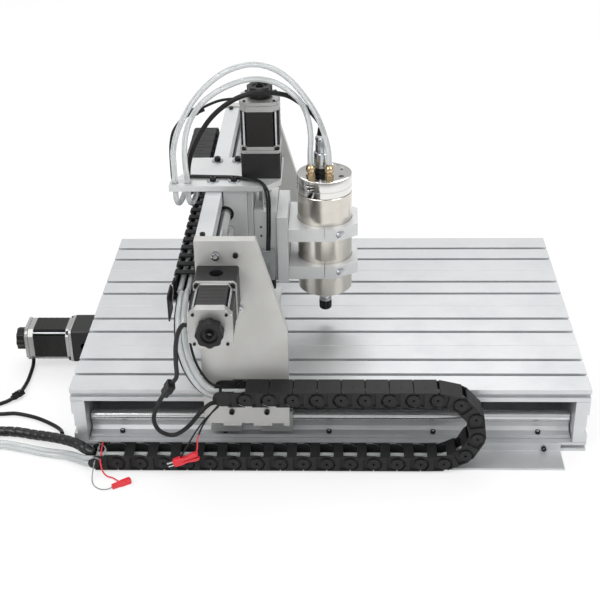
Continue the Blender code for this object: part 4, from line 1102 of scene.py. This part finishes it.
@dataclass
class Spindle:
    """Water-cooled spindle: body, polished cap, push fittings, plug and collet nut."""

    x: float = -6.4
    y: float = -43.5
    radius: float = 40.0
    bottom: float = 59.5
    cap_bottom: float = 220.0
    cap_top: float = 246.0
    fittings: tuple[Flat, ...] = ((-26.0, -60.0), (1.0, -63.0))
    plug: Flat = (-10.0, -41.0)

    def build(self) -> None:
        """Builds every piece of the spindle."""
        slide, rotor = "upright_slide", "spindle_rotor"
        centre = Matrix.Translation((self.x, self.y, 0))
        r = self.radius
        body = Form()
        body.turned([
            (8.2, self.bottom), (33.0, self.bottom), (33.6, self.bottom + 0.6),
            (33.6, self.bottom + 3.4), (r - 1.2, self.bottom + 3.8), (r, self.bottom + 5.0),
            (r, self.cap_bottom - 1.4), (r - 0.7, self.cap_bottom - 0.5),
            (8.2, self.cap_bottom - 0.5),
        ], centre, 128)
        shell = body.done("spindle_shell", SATIN_STAINLESS, slide, "spindle_steel")
        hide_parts("spindle_body")
        cap = Form()
        low, top = self.cap_bottom, self.cap_top
        cap.turned([
            (0, low), (r - 0.7, low), (r, low + 0.7), (r, low + 9.6), (r - 0.5, low + 10.0),
            (r - 0.5, low + 10.8), (r, low + 11.2), (r, top - 1.6), (r - 0.5, top - 0.5),
            (r - 1.6, top), (r - 7.0, top), (r - 7.4, top - 0.5), (0, top - 0.5),
        ], centre, 128)
        chrome = cap.done("spindle_cap_chrome", POLISHED_CHROME, slide, "polished_cap")
        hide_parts("spindle_cap")
        self.cap_details(slide)
        nose = Form()
        nose.turned([(0, 39), (7.5, 39), (7.5, self.cap_bottom - 6), (0, self.cap_bottom - 6)],
                    centre, 48)
        nut = nose.done("spindle_shaft", GROUND_STEEL, rotor, "spindle_steel")
        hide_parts("spindle_nose")
        crown = Form()
        outline = []
        for i in range(24):
            angle = 2 * math.pi * i / 24
            reach = 9.5 if i % 4 < 3 else 8.1
            outline.append((reach * math.cos(angle), reach * math.sin(angle)))
        crown.slab(outline, 25.5, 36.6, centre, (circle(5.0, 32),))
        crown.turned([(3.4, 22.0), (7.4, 22.0), (9.3, 24.0), (9.3, 25.5), (3.4, 25.5)], centre, 48)
        crown.done("collet_nut", BLACK_OXIDE, rotor, "spindle_steel", bevel=0.4)
        rim = Form()
        rim.turned([(5.0, 36.8), (8.9, 36.8), (9.2, 37.4), (9.2, 40.0), (8.7, 40.8),
                    (5.0, 40.8)], centre, 48)
        rim.done("collet_nut_rim", ZINC_PLATE, rotor, "spindle_steel")
        collet = Form()
        collet.turned([(3.2, 21.2), (5.0, 21.2), (6.2, 23.0), (6.2, 34.0), (3.2, 34.0)], centre, 32)
        collet.done("collet", GROUND_STEEL, rotor, "spindle_steel")
        ring = Form()
        ring.turned([(8.4, 55.5), (14.0, 55.5), (15.0, 56.5), (15.0, self.bottom + 0.5),
                     (8.4, self.bottom + 0.5)], centre, 64)
        ring.done("dust_ring", BLACK_OXIDE, slide, "black_metal")

    def cap_details(self, slide: str) -> None:
        """The push fittings, the plug with its sleeve, and painted shade for the cap's small screw
        recesses.
        """
        brass = Form()
        for x, y in self.fittings:
            here = Matrix.Translation((x, y, 0))
            top = self.cap_top
            brass.slab(circle(6.4, 6), top - 1.0, top + 4.6, here)
            brass.turned([
                (0, top + 4.2), (4.4, top + 4.2), (4.2, top + 6.2),
                *((7.0 * math.cos(a), top + 12.6 + 7.0 * math.sin(a))
                  for a in (math.radians(d) for d in range(-50, 51, 10))),
                (4.6, top + 18.4), (4.6, top + 20.0), (0, top + 20.0),
            ], here, 40)
        brass.done("hose_fittings", CHAMPAGNE_BRASS, slide, "spindle_steel", bevel=0.35)
        x, y = self.plug
        here = Matrix.Translation((x, y, 0))
        top = self.cap_top
        base = Form()
        base.turned([(0, top - 1), (11.4, top - 1), (11.4, top + 2.4), (10.4, top + 3.4),
                     (10.4, top + 8), (0, top + 8)], here, 48)
        base.done("plug_flange", PLUG_ABS, slide, "black_plastic")
        shell = Form()
        shell.turned([
            (0, top + 8), (10.6, top + 8), (11.4, top + 9.0), (11.4, top + 12.4),
            (10.4, top + 13.0),
            (10.4, top + 14.4), (11.8, top + 15.0), (11.8, top + 30.0), (10.8, top + 31.4),
            (9.2, top + 32.0), (9.2, top + 46), (8.6, top + 47), (8.6, top + 49), (9.4, top + 50),
            (9.4, top + 53), (8.6, top + 54), (0, top + 54),
        ], here, 48)
        shell.done("plug_shell", ZINC_PLATE, slide, "bright_steel")
        collar = Form()
        collar.turned([(0, top + 53.6), (7.9, top + 53.6), (7.9, top + 56.5), (7.2, top + 57.2),
                       (0, top + 57.2)], here, 40)
        collar.done("plug_collar", WHITE_NYLON, slide, "black_plastic")
        sleeve = Form()
        base_z = top + 56.8
        rings: list[Flat] = [(0, base_z)]
        for step in range(5):
            width, low = 6.6 - step * 0.3, base_z + step * 2.2
            rings += [(width, low), (width, low + 1.4), (width - 0.8, low + 1.7)]
        rings += [(4.0, base_z + 11.5), (0, base_z + 11.5)]
        sleeve.turned(rings, here, 40)
        sleeve.done("plug_sleeve", CABLE_PVC, slide, "cable_black")
        # Painted shade: thin dark discs on the cap's top stand in for the shade inside its screw
        # recesses.
        dot = Form()
        for angle in (205, 265, 325, 25, 85, 145):
            a = math.radians(angle)
            dot.rod((self.x + 27.5 * math.cos(a), self.y + 27.5 * math.sin(a), top - 0.6),
                    (0, 0, 1), 0.25, 2.0, 16)
        dot.rod((self.x + 24.5, self.y - 13, top - 0.6), (0, 0, 1), 0.4, 3.6, 20)
        dot.done("cap_screw_recesses", PAINTED_RECESS_SHADE, slide, "black_metal")


# Routes of the hoses and cables: the diameter, then the places that each one passes.

OUTER_HOSE = (
    8.0,
    (
        (-207, -12, 229), (-208, -40, 226), (-211, -66, 217), (-215, -83, 216),
        (-218, -87, 226), (-218, -85.3, 236), (-218, -85, 244), (-218, -85, 253), (-218, -84, 271),
        (-218, -82, 294), (-212, -80, 319), (-201, -78, 343), (-185, -75, 368), (-163, -72, 391),
        (-136, -68, 408), (-104, -62, 414), (-77, -58, 407), (-54, -57, 391), (-34, -57, 367),
        (-16, -58, 338), (-5, -60, 308), (0, -62, 285), (1, -63, 266.6),
    ),
)
INNER_HOSE = (
    8.0,
    (
        (-190, -12, 229), (-191, -40, 226), (-193, -66, 217), (-197, -83, 216),
        (-200, -87, 226), (-200, -85.3, 236), (-200, -85, 244), (-200, -85, 253), (-202, -84, 272),
        (-202, -82, 297), (-199, -80, 319), (-190, -78, 343), (-174, -76, 364), (-149, -71, 381),
        (-121, -65, 391), (-96, -61, 393), (-72, -58, 386), (-52, -57, 372), (-37, -57, 355),
        (-28, -58, 332), (-25, -59, 307), (-26, -60, 284), (-26, -60, 266.6),
    ),
)
SPINDLE_CABLE = (
    7.0,
    (
        (-198, -12, 219), (-199, -36, 217), (-201, -56, 220), (-201.5, -66.5, 231),
        (-201, -66, 241), (-201, -66, 250), (-200, -67, 264), (-195, -69, 284), (-183, -72, 311),
        (-167, -76, 337), (-148, -79, 357), (-124, -81, 373), (-97, -80, 380.5), (-84, -70, 377),
        (-72, -58, 371), (-60, -48, 365), (-50, -44, 359), (-36, -42, 348), (-23, -41, 335),
        (-14, -41, 323), (-10.4, -41, 317), (-10, -41, 311.5),
    ),
)
UPRIGHT_MOTOR_CABLE = (
    4.0,
    (
        (-209, -12, 219), (-213, -26, 218.5), (-219, -42, 222), (-223, -54, 231), (-225, -61, 246),
        (-225, -62.5, 262), (-225, -62, 280), (-224, -59, 298), (-220, -54, 314),
        (-211, -48, 326), (-200, -42, 333), (-188, -38, 338), (-173, -35, 345),
        (-156, -32, 351), (-140, -30, 353), (-125, -30, 353),
    ),
)
LIMIT_SWITCH_CABLE = (
    4.0,
    (
        (-197.1, -66.6, 250.9), (-165, -69, 251), (-144, -70, 251), (-131, -71.5, 251),
        (-122, -76.5, 251.5), (-106, -84, 252.5), (-95, -94, 252.5), (-88, -102, 246),
        (-85, -105, 232), (-85, -105, 207), (-86, -104, 175), (-87.5, -97, 156), (-88, -94, 145.8),
    ),
)
GANTRY_HARNESS = (
    16.0,
    (
        (-198, -203, 136), (-198, -225, 136), (-198, -254, 122), (-196, -271, 92),
        (-188, -277, 60), (-175, -278, 34), (-161, -278, 20.5), (-150.4, -278, 18.6),
    ),
)
CROSS_MOTOR_CABLE = (
    6.0,
    (
        (-173.8, -370, 181), (-179, -370, 180.6), (-186, -368, 168), (-191, -362, 145),
        (-194, -352, 115),
        (-197, -336, 84), (-206, -318, 62), (-222, -306, 34), (-233, -301, 12), (-239, -300, -11),
        (-231, -301, -29), (-212, -302, -34), (-192, -302, -20), (-175, -298, 0), (-161, -289, 9),
        (-148, -288, 10),
    ),
)
LONG_MOTOR_CABLE = (
    6.0,
    (
        (-480, -8, -89.4), (-480, -8, -92), (-480, -12, -97.8), (-479, -26, -100.2),
        (-478, -62, -100.3),
        (-479.5, -92, -98), (-484, -107, -98), (-490, -117, -98.5), (-498, -124, -99.6),
        (-508, -130, -100.3), (-516, -139, -100.3), (-515, -150, -100.3), (-506, -156, -100.3),
        (-494, -156, -100.3), (-474, -155, -100.3), (-442, -166, -100.3), (-414, -183.5, -100.3),
        (-398, -201, -97.5), (-391, -218.5, -91.5),
    ),
)
SUPPLY_HARNESS = (
    15.0,
    (
        (-612, -204, -90), (-585, -204, -92), (-560, -204, -95), (-525, -204, -96),
        (-487, -204.5, -96),
        (-460, -209, -96), (-435, -216, -95.5), (-410, -226, -92), (-384, -240, -87),
        (-362, -254, -84), (-346, -266, -85.5), (-333.6, -272.5, -87.7),
    ),
)
SUPPLY_HOSES = (
    8.0,
    (
        (-558, -256, -93), (-545, -255.5, -95), (-525, -250, -98), (-505, -243, -99.3),
        (-481, -238, -99.3), (-446, -248, -99.3), (-409, -259, -99.3), (-374, -268, -98.6),
        (-350, -282, -96.2), (-340, -287, -95), (-331.3, -289, -94.6),
    ),
)


@dataclass(frozen=True)
class Strand:
    """One cord: its diameter, its route and how it ends."""

    name: str
    diameter: float
    route: tuple[Point, ...]
    finish: Finish
    far_end: str = "object"
    stiffness: str = "medium"
    lay: str = "hanging"
    ridge: float = 0.0


@dataclass
class Cords:
    """Every free hose and cable, on its own body or on none."""

    slide_start: float = -86.0
    slide_end: float = -34.0
    declared: list = field(default_factory=list)

    def strand(
        self, strand: Strand, body: str = "", pieces: Sequence[bpy.types.Object] = ()
    ) -> bpy.types.Object:
        """Args:
            strand: the cord.
            body: the body it rides on, or nothing, which leaves it on no body.
            pieces: its plugs and connectors, kept with the cord but not used.

        Returns:
            The cord's object.
        """
        spacing = 2.4 if strand.ridge else min(4.5, strand.diameter * 0.75)
        points = smooth(strand.route, spacing)
        made = Form().tube(
            points, strand.diameter / 2, 20, strand.ridge, 13.0
        ).done(strand.name, strand.finish, body, "")
        path = [at(p) for p in points]
        length = sum((b - a).length for a, b in zip(path, path[1:]))
        self.declared.append((made, path, length, strand, list(pieces)))
        return made

    def declare(self) -> None:
        """Logs every cord's length."""
        for made, path, length, strand, pieces in self.declared:
            log.info("%s is %.3f m long", strand.name, length)

    def build(self) -> None:
        """Builds the spindle's, the carriage's, the gantry's and the supply's cords."""
        self.spindle_lines()
        self.carriage_cables()
        self.gantry_lines()
        self.supply_lines()
        self.declare()

    def spindle_lines(self) -> None:
        """Two water hoses and the cable, from the cross chain over to the spindle's cap."""
        for strand, node in (
            (Strand("hose_outer", *OUTER_HOSE, WATER_TUBE), "spindle_hose_outer"),
            (Strand("hose_inner", *INNER_HOSE, WATER_TUBE), "spindle_hose_inner"),
            (Strand("spindle_power_cable", *SPINDLE_CABLE, CABLE_PVC), "spindle_cable"),
        ):
            made = self.strand(strand)
            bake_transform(made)
            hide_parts(node)

    def connector(self, name: str, centre: Point, ahead: Point, radius: float, length: float,
                  body: str) -> bpy.types.Object:
        """An inline plug: two rectangular halves, a latch and ribs on the grip faces."""
        h, r = length / 2, radius
        form = Form()
        form.box((-r, -r * 0.72, -h), (r, r * 0.72, h * 0.1))
        form.box((-r * 0.84, -r * 0.6, h * 0.1), (r * 0.84, r * 0.6, h))
        form.box((-r * 0.35, r * 0.5, -h * 0.2), (r * 0.35, r * 0.98, h * 0.75))
        form.box((-r * 0.42, r * 0.6, h * 0.55), (r * 0.42, r * 1.08, h * 0.75))
        for step in range(3):
            low = -h * 0.85 + step * h * 0.24
            form.box((-r * 1.07, -r * 0.5, low), (r * 1.07, r * 0.5, low + h * 0.1))
        turn = Matrix.Translation(centre) @ facing(ahead)
        return form.done(name, PLUG_ABS, body, "black_plastic", bevel=0.4, turn=turn)

    def carriage_cables(self) -> None:
        """The upright motor's cable and the limit switch's two thin wires."""
        plug = self.connector(
            "upright_motor_plug", (-187, -37.9, 338.4), (14, 2.6, 5.4), 5.4, 22.0,
            "cross_carriage",
        )
        made = self.strand(
            Strand("upright_motor_lead", *UPRIGHT_MOTOR_CABLE, CABLE_PVC), "cross_carriage",
            (plug,),
        )
        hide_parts("upright_motor_cable")
        plate_top = 249.0
        for index, shift in enumerate((-1.7, 1.7)):
            route = tuple(
                (x, y + shift, z) if z > plate_top else (x + shift, y, z)
                for x, y, z in LIMIT_SWITCH_CABLE[1]
            )
            wire = self.strand(Strand(f"limit_wire_{index}", 3.3, route, CABLE_PVC,
                                      stiffness="limp"))
            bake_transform(wire)
            if not index:
                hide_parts("limit_switch_cable")

    def gantry_lines(self) -> None:
        """Two hoses and a cable between the two chains, and the cross motor's cable."""
        offsets = ((-4.3, 0.0, WATER_TUBE, 8.0), (4.3, -1.0, WATER_TUBE, 8.0),
                   (0.0, 6.9, CABLE_PVC, 6.0), (-9.6, 3.6, CABLE_PVC, 3.6),
                   (9.8, 4.2, CABLE_PVC, 3.6))
        route = [Vector(p) for p in GANTRY_HARNESS[1]]
        for index, (across, out, finish, diameter) in enumerate(offsets):
            places = []
            for i, point in enumerate(route):
                ahead = (route[min(i + 1, len(route) - 1)] - route[max(i - 1, 0)]).normalized()
                side = Vector((1.25, 0, 0.3))
                side = (side - ahead * side.dot(ahead)).normalized()
                over = ahead.cross(side).normalized()
                moved = point + side * across - over * out
                places.append((moved.x, moved.y, moved.z))
            made = self.strand(
                Strand(f"gantry_line_{index}", diameter, tuple(places), finish), "gantry"
            )
            if not index:
                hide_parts("gantry_harness")
        plug = self.connector(
            "cross_motor_plug", (-214, -312, 48), (-15, 11, -27), 7.0, 28.0, "gantry"
        )
        made = self.strand(Strand("cross_motor_lead", *CROSS_MOTOR_CABLE, CABLE_PVC), "gantry",
                           (plug,))
        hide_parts("cross_motor_cable")
        plug = self.connector(
            "long_motor_plug", (-484, -107, -98), (-6, -12, 0), 6.2, 20.0, "root"
        )
        made = self.strand(
            Strand("long_motor_lead", *LONG_MOTOR_CABLE, CABLE_PVC, lay="loose"), "root", (plug,)
        )
        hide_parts("long_motor_cable")

    def coil(
        self, lead: Sequence[Point], centre: Flat, outer: float, gap: float, turns: float,
        height: float, side: int,
    ) -> tuple[Point, ...]:
        """A route that leads in straight and winds inwards.

        Args:
            lead: the route as far as the coil, where it runs towards -X.
            centre: the coil's middle.
            outer: its first turn's radius.
            gap: how much the radius falls in each turn.
            turns: how many turns it has.
            height: the height of its centreline.
            side: 1 when it enters on the far side of the middle, -1 on the near side.

        Returns:
            The whole route.
        """
        route = list(lead)
        steps = round(turns * 20)
        for step in range(1, steps + 1):
            angle = -2 * math.pi * step / 20
            reach = outer - gap * step / 20
            route.append((
                centre[0] + reach * math.sin(angle), centre[1] + side * reach * math.cos(angle),
                height,
            ))
        return tuple(route)

    def supply_lines(self) -> None:
        """The wrapped harness and the two water hoses, each with its coil on the ground."""
        sleeve_height, hose_height = -96.4, -99.9
        lead = tuple(reversed(SUPPLY_HARNESS[1]))[:-5]
        lead += tuple((x, y, sleeve_height) for x, y in (
            (-487, -207), (-525, -212), (-565, -217), (-590, -218), (-612, -218.5)
        ))
        route = self.coil(lead, (-612, -122), 96.5, 15.6, 2.0, sleeve_height, -1)
        plug = self.plug_end("harness_plug", route, 9.5, 40.0)
        made = self.strand(
            Strand("supply_sleeve", 15.0, route, SPIRAL_WRAP, "plug", "medium", "coiled", 1.3),
            "root", (plug,),
        )
        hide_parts("supply_harness")
        for index, (y, z, over) in enumerate(((0.0, 0.0, 0.0), (2.0, 9.1, 8.5))):
            start = tuple(reversed(SUPPLY_HOSES[1]))
            lead = []
            for i, (px, py, pz) in enumerate(start[:-4]):
                fade = min(1.0, i / 4)
                lead.append((px, py + y + fade * 7.0 * index, pz + z * (1 - fade)))
            base = hose_height + over
            tail = tuple((x, y, hose_height) for x, y in (
                (-481, -239), (-510, -244), (-535, -247.5)
            ))
            if index:
                tail = ((-481, -230, -99.9), (-510, -236, -98.0), (-535, -246, -93.5))
            lead = lead[:-1] + list(tail) + [(-558, -248, base)]
            route = self.coil(lead, (-558, -300), 52.0, 8.6, 2.0, base, 1)
            plug = self.plug_end(f"supply_hose_fitting_{index}", route, 6.0, 24.0, WHITE_NYLON)
            made = self.strand(
                Strand(f"supply_hose_{index}", 8.0, route, WATER_TUBE, "fitting", "medium",
                       "coiled"),
                "root", (plug,),
            )
            if not index:
                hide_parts("supply_hoses")

    def plug_end(
        self, name: str, route: Sequence[Point], radius: float, length: float,
        finish: Finish = PLUG_ABS,
    ) -> bpy.types.Object:
        """The connector on the free end of a coiled line."""
        last, before = Vector(route[-1]), Vector(route[-2])
        ahead = (last - before).normalized()
        form = Form()
        low = -6.0
        form.turned([
            (0, low), (radius * 0.82, low), (radius * 0.92, low + 3), (radius, low + 5),
            (radius, length * 0.42), (radius * 0.86, length * 0.45), (radius * 0.86, length * 0.52),
            (radius * 0.97, length * 0.55), (radius * 0.97, length - 1.5), (radius * 0.88, length),
            (radius * 0.6, length), (radius * 0.6, length - 5), (0, length - 5),
        ], Matrix.Translation(last) @ facing((ahead.x, ahead.y, ahead.z)), 32)
        return form.done(name, finish, "root", "black_plastic")


@dataclass
class Fastenings:
    """Cap screws and washers that hold the parts together."""

    rail_seat: float = -83.7

    def cap_screw(self, radius: float = 4.0, head: float = 4.0) -> bpy.types.Object:
        """One socket head with a hexagon recess and a broken rim."""
        form = Form()
        form.slab(circle(radius, 36), 0.0, head, None, (circle(radius * 0.56, 6),))
        form.slab(circle(radius * 0.56, 6), 0.0, head * 0.42)
        unit = unit_of(form, "cap_screw", BLACK_OXIDE)
        add_bevel(unit, 0.3, 2)
        return unit

    def build(self, black: Repeat, bright: Repeat, washer: Repeat) -> None:
        """Places every screw on its body."""
        up = (0.0, 0.0, 0.0)
        plate = [Spot((x, y, 249.2), up, 1.08) for x in (-164.5, -134.5) for y in (-79.0, -5.5)]
        washers = [Spot((s.place[0], s.place[1], 248.3), up, 1.0) for s in plate]
        washer.bake("top_plate_washers", "cross_carriage", washers)
        black.bake("top_plate_screws", "cross_carriage", [
            Spot((s.place[0], s.place[1], 250.0), up, 1.16) for s in plate
        ])
        rails = [
            Spot((150.0 * step, side * 210.0 + across, self.rail_seat), up, 0.95)
            for step in (-2, -1, 0, 1, 2) for side in (-1, 1) for across in (-14.5, 14.5)
        ]
        black.bake("rail_screws", "root", rails)
        lying = (math.pi / 2, 0.0, 0.0)
        black.bake("tray_screws", "root", [
            Spot((x, -243.0, -96.8), lying, 0.9) for x in (-307.0, 0.0, 307.0)
        ])
        black.bake("side_plate_black_screws", "gantry", [
            Spot((-119.7, -259.05, 222.0), lying, 0.9),
            Spot((-135.3, -259.05, -24.0), lying, 0.95),
            Spot((-86.1, -259.05, -24.0), lying, 0.95),
            Spot((-164.2, -236.2, 239.4), up, 0.9),
            Spot((-164.2, 238.2, 239.4), up, 0.9),
        ])
        sides = []
        for out in (-1, 1):
            turn = (-out * math.pi / 2, 0.0, 0.0)
            for x, z, size in ((-146, 222, 1.46), (-117.2, 142.5, 1.07)):
                sides.append(Spot((x, out * 259.15, z), turn, size))
        bright.bake("side_plate_screws", "gantry", sides)
        clamps = [
            Spot((12.0, y, z), (0.0, math.pi / 2, 0.0), 1.1)
            for z in (107.0, 167.5) for y in (-88.0, 1.0)
        ]
        bright.bake("clamp_screws", "upright_slide", clamps)


@dataclass
class TopPlate:
    """The carriage's top plate with its hose holes, and the rods' bright sleeves."""

    outline: tuple[Flat, ...] = (
        (-226, -97), (-88, -97), (-68, -75), (-68, 8), (-207, 8), (-207, -45), (-226, -80),
    )

    def build(self) -> None:
        """Builds the plate and the rails' shafts."""
        form = Form()
        holes = [circle(4.8, 32, c) for c in ((-218.0, -85.0), (-200.0, -85.0), (-201.0, -66.0))]
        form.slab(self.outline, 240.0, 248.3, None, holes)
        plate = form.done("top_plate", PLATE_ALUMINIUM, "cross_carriage", "frame_aluminium",
                          bevel=0.5)
        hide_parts("carriage_top_plate")
        shafts = Form()
        for side in (-1, 1):
            shafts.rod((-345.6, side * 210.0, -64.0), (1, 0, 0), 691.2, 8.06, 48)
        shafts.done("rail_shafts", GROUND_STEEL, "root", "bright_steel")
        seals = Form()
        for height in (204.0, 149.0):
            for face in (-94.6, -8.1):
                seals.turned(
                    [(8.3, 0.0), (11.8, 0.0), (12.0, 0.2), (12.0, 0.7), (8.3, 0.7)],
                    Matrix.Translation((-147.5, face, height)) @ facing((0, 1, 0)), 40,
                )
        seals.done("rod_bearing_seals", BLACK_OXIDE, "cross_carriage", "black_metal")
        # Painted shade: thin black sheets on the channel's floor and inner web stand in for the
        # shade inside the channel.
        painted_shade = Form()
        painted_shade.box((-167.95, -243.0, 128.0), (-118.3, 243.0, 128.4))
        painted_shade.box((-168.05, -243.0, 128.0), (-167.6, 243.0, 219.2))
        painted_shade.done("channel_lining", BLACK_ANODISED, "gantry", "black_metal")
        clip = Form()
        clip.box((-218.4, -236.0, 108.0), (-216.2, -200.0, 147.0))
        clip.done("cross_chain_end_clip", CHAIN_NYLON, "gantry", "black_plastic", bevel=0.5)


@dataclass
class TestLeads:
    """The red clip and the red terminal, each on its own thin wire."""

    def build(self) -> None:
        """Builds both leads with their boots."""
        self.clip()
        self.terminal()

    def clip(self) -> None:
        """A red alligator clip that hangs by two leads from the gantry's end of the chain."""
        jaw = [(-1.0, 0.0), (0.0, 4.6), (9.0, 5.6), (20.0, 3.4), (31.0, 6.0), (37.0, 5.0),
               (38.0, 0.6), (30.0, -0.6), (14.0, -1.2), (2.0, -2.4)]
        turn = Matrix.Translation((-216, -303.5, -80)) @ Matrix.Rotation(
            math.pi / 2, 4, "X"
        ) @ Matrix.Rotation(math.radians(20), 4, "Z")
        upper = self.boot("clip_boot", jaw, 8.0, turn, "gantry")
        lower = self.boot(
            "clip_lower_boot", [(u, 6.4 - v * 0.8 - 9.0) for u, v in jaw][::-1], 7.0, turn, "gantry"
        )
        teeth = Form()
        teeth.box((-9.0, 0.5, -2.2), (2.0, 3.0, 2.2))
        teeth.box((-9.0, -4.5, -2.2), (2.0, -2.5, 2.2))
        metal = teeth.done("clip_jaws", ZINC_PLATE, "gantry", "bright_steel", bevel=0.4, turn=turn)
        for name, diameter, finish, pieces, lead in (
            ("clip_lead_upper", 2.6, CABLE_PVC, (), (
                (-150, -291, 8), (-158, -299, 2), (-166, -302, -8), (-173, -303, -20),
                (-178, -303.5, -32),
            )),
            ("clip_lead_red", 2.0, RED_PVC, (upper, lower, metal), (
                (-178, -303.5, -32), (-180.5, -303.5, -41), (-181, -303.5, -50),
                (-182, -303.5, -58), (-184, -303.5, -66),
            )),
            ("clip_lead_black", 2.4, CABLE_PVC, (), (
                (-150, -288, 4), (-160, -298, -1), (-171, -302, -12), (-182, -303, -28),
                (-191, -303.5, -44), (-198, -303.5, -57), (-203, -303.5, -66),
                (-207, -303.5, -74),
            )),
        ):
            self.wire(name, lead, diameter, finish, "gantry", pieces)

    def terminal(self) -> None:
        """A red terminal that lies on the ground by the start of the chain."""
        body = [(-14.0, -2.6), (-14.0, 2.6), (-4.0, 3.0), (0.0, 4.2), (14.0, 4.6), (15.0, 0.0),
                (14.0, -4.6), (0.0, -4.2), (-4.0, -3.0)]
        turn = Matrix.Translation((-288, -325.5, -100.0)) @ Matrix.Rotation(
            math.radians(34), 4, "Z"
        )
        boot = self.boot("terminal_boot", body, 7.4, turn, "root")
        lead = (
            (-322, -262, -76), (-321, -285, -78), (-320, -299, -84), (-316, -307, -94),
            (-310, -309, -100.4), (-304, -310, -101.6), (-298, -314, -101.8), (-293, -320, -100.5),
        )
        self.wire("terminal_lead_red", lead, 2.2, RED_PVC, "root", (boot,))
        loop = (
            (-326, -262, -78), (-327, -284, -79), (-329, -299, -86), (-331, -308, -97),
            (-330, -318, -102.6), (-325, -328, -102.8), (-316, -335, -102.6),
            (-306, -336, -102.0), (-298.5, -332.5, -100.6),
        )
        self.wire("terminal_lead_grey", loop, 1.6, SWITCH_PLASTIC, "root", ())

    def wire(
        self, name: str, route: tuple[Point, ...], diameter: float, finish: Finish, body: str,
        pieces: tuple[bpy.types.Object, ...],
    ) -> None:
        """A thin limp wire, built as a cord with its length logged."""
        cords = Cords()
        cords.strand(Strand(name, diameter, route, finish, "object", "limp", "hanging"), body,
                     pieces)
        cords.declare()

    def boot(self, name: str, outline: Sequence[Flat], thick: float, turn: Matrix,
             body: str) -> bpy.types.Object:
        """A flat moulded boot."""
        form = Form()
        form.slab(outline, -thick / 2, thick / 2, turn)
        return form.done(name, RED_PVC, body, "black_plastic", bevel=1.2)


@dataclass
class Switch:
    """The limit switch: grey body, black foot and roller lever."""

    def build(self) -> None:
        """Builds its black foot, lever and roller."""
        foot = Form()
        foot.box((-98.0, -97.6, 83.6), (-78.2, -86.6, 98.0))
        foot.done("switch_foot", PLUG_ABS, "upright_slide", "black_plastic", bevel=0.6)
        cover = Form()
        cover.box((-97.6, -98.2, 112.0), (-78.4, -97.0, 142.0))
        cover.done("switch_cover", SWITCH_PLASTIC, "upright_slide", "black_plastic", bevel=0.5)
        # Painted shade: two thin dark discs on the slide's face stand in for the shade inside its
        # grub screw holes.
        dots = Form()
        for z in (179.0, 165.0):
            dots.rod((-98.0, -86.1, z), (0, -1, 0), 0.25, 1.7, 20)
        dots.done("slide_grub_holes", PAINTED_RECESS_SHADE, "upright_slide", "black_metal")
        arm = Form()
        arm.box((-90.0, -99.6, 96.0), (-86.0, -98.4, 126.0))
        arm.rod((-88.0, -101.2, 97.0), (0, 1, 0), 4.0, 4.2, 24, 0.4)
        arm.done("switch_lever", ZINC_PLATE, "upright_slide", "bright_steel", bevel=0.2)


def make_units() -> tuple[Repeat, Repeat, Repeat]:
    """The black screws, bright screws and washers, each as a repeat."""
    fastenings = Fastenings()
    screw = fastenings.cap_screw()
    ring = Form()
    ring.turned([(4.5, 0.0), (8.2, 0.0), (8.4, 0.3), (8.4, 1.4), (8.1, 1.7), (4.5, 1.7)], None, 40)
    washer = unit_of(ring, "washer", ZINC_PLATE)
    return Repeat(screw, BLACK_OXIDE), Repeat(screw, ZINC_PLATE), Repeat(washer, ZINC_PLATE)


def remove_units() -> None:
    """Removes the units that the copies were made from."""
    for unit in UNITS:
        bpy.data.objects.remove(unit)
    UNITS.clear()


def main() -> None:
    """Builds the whole scene in order."""
    logging.basicConfig(level=logging.INFO, format="%(message)s")
    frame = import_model()
    Studio().build()
    CadFinishes().build(frame["nodes"])
    black, bright, washer = make_units()
    Cords().build()
    for drive in (
        Drive("long", (-1, 0, 0), (-409.5, 0, -59.4), "root", "long_screw"),
        Drive("cross", (0, -1, 0), (-144, -301, 178.5), "gantry", "cross_screw"),
        Drive("upright", (0, 0, 1), (-96, -43.5, 286.3), "cross_carriage", "upright_screw"),
    ):
        drive.build(black)
    Chain("long_chain", -330.0, 153.0, -88.7, 18.3, -146.0, 32.76, -295.0, -259.5, 12, 3, False,
          ("root", "gantry"),
          ("long_chain_fixed_run", "long_chain_bend", "long_chain_gantry_end")).build()
    Chain("cross_chain", -201.4, 147.0, 135.4, 227.4, -6.0, 25.84, -216.0, -180.0, 10, 0, True,
          ("gantry", "cross_carriage"),
          ("cross_chain_fixed_run", "cross_chain_bend", "cross_chain_bend")).build()
    Spindle().build()
    Fastenings().build(black, bright, washer)
    Switch().build()
    TopPlate().build()
    TestLeads().build()
    remove_units()


if __name__ == "__main__":
    main()
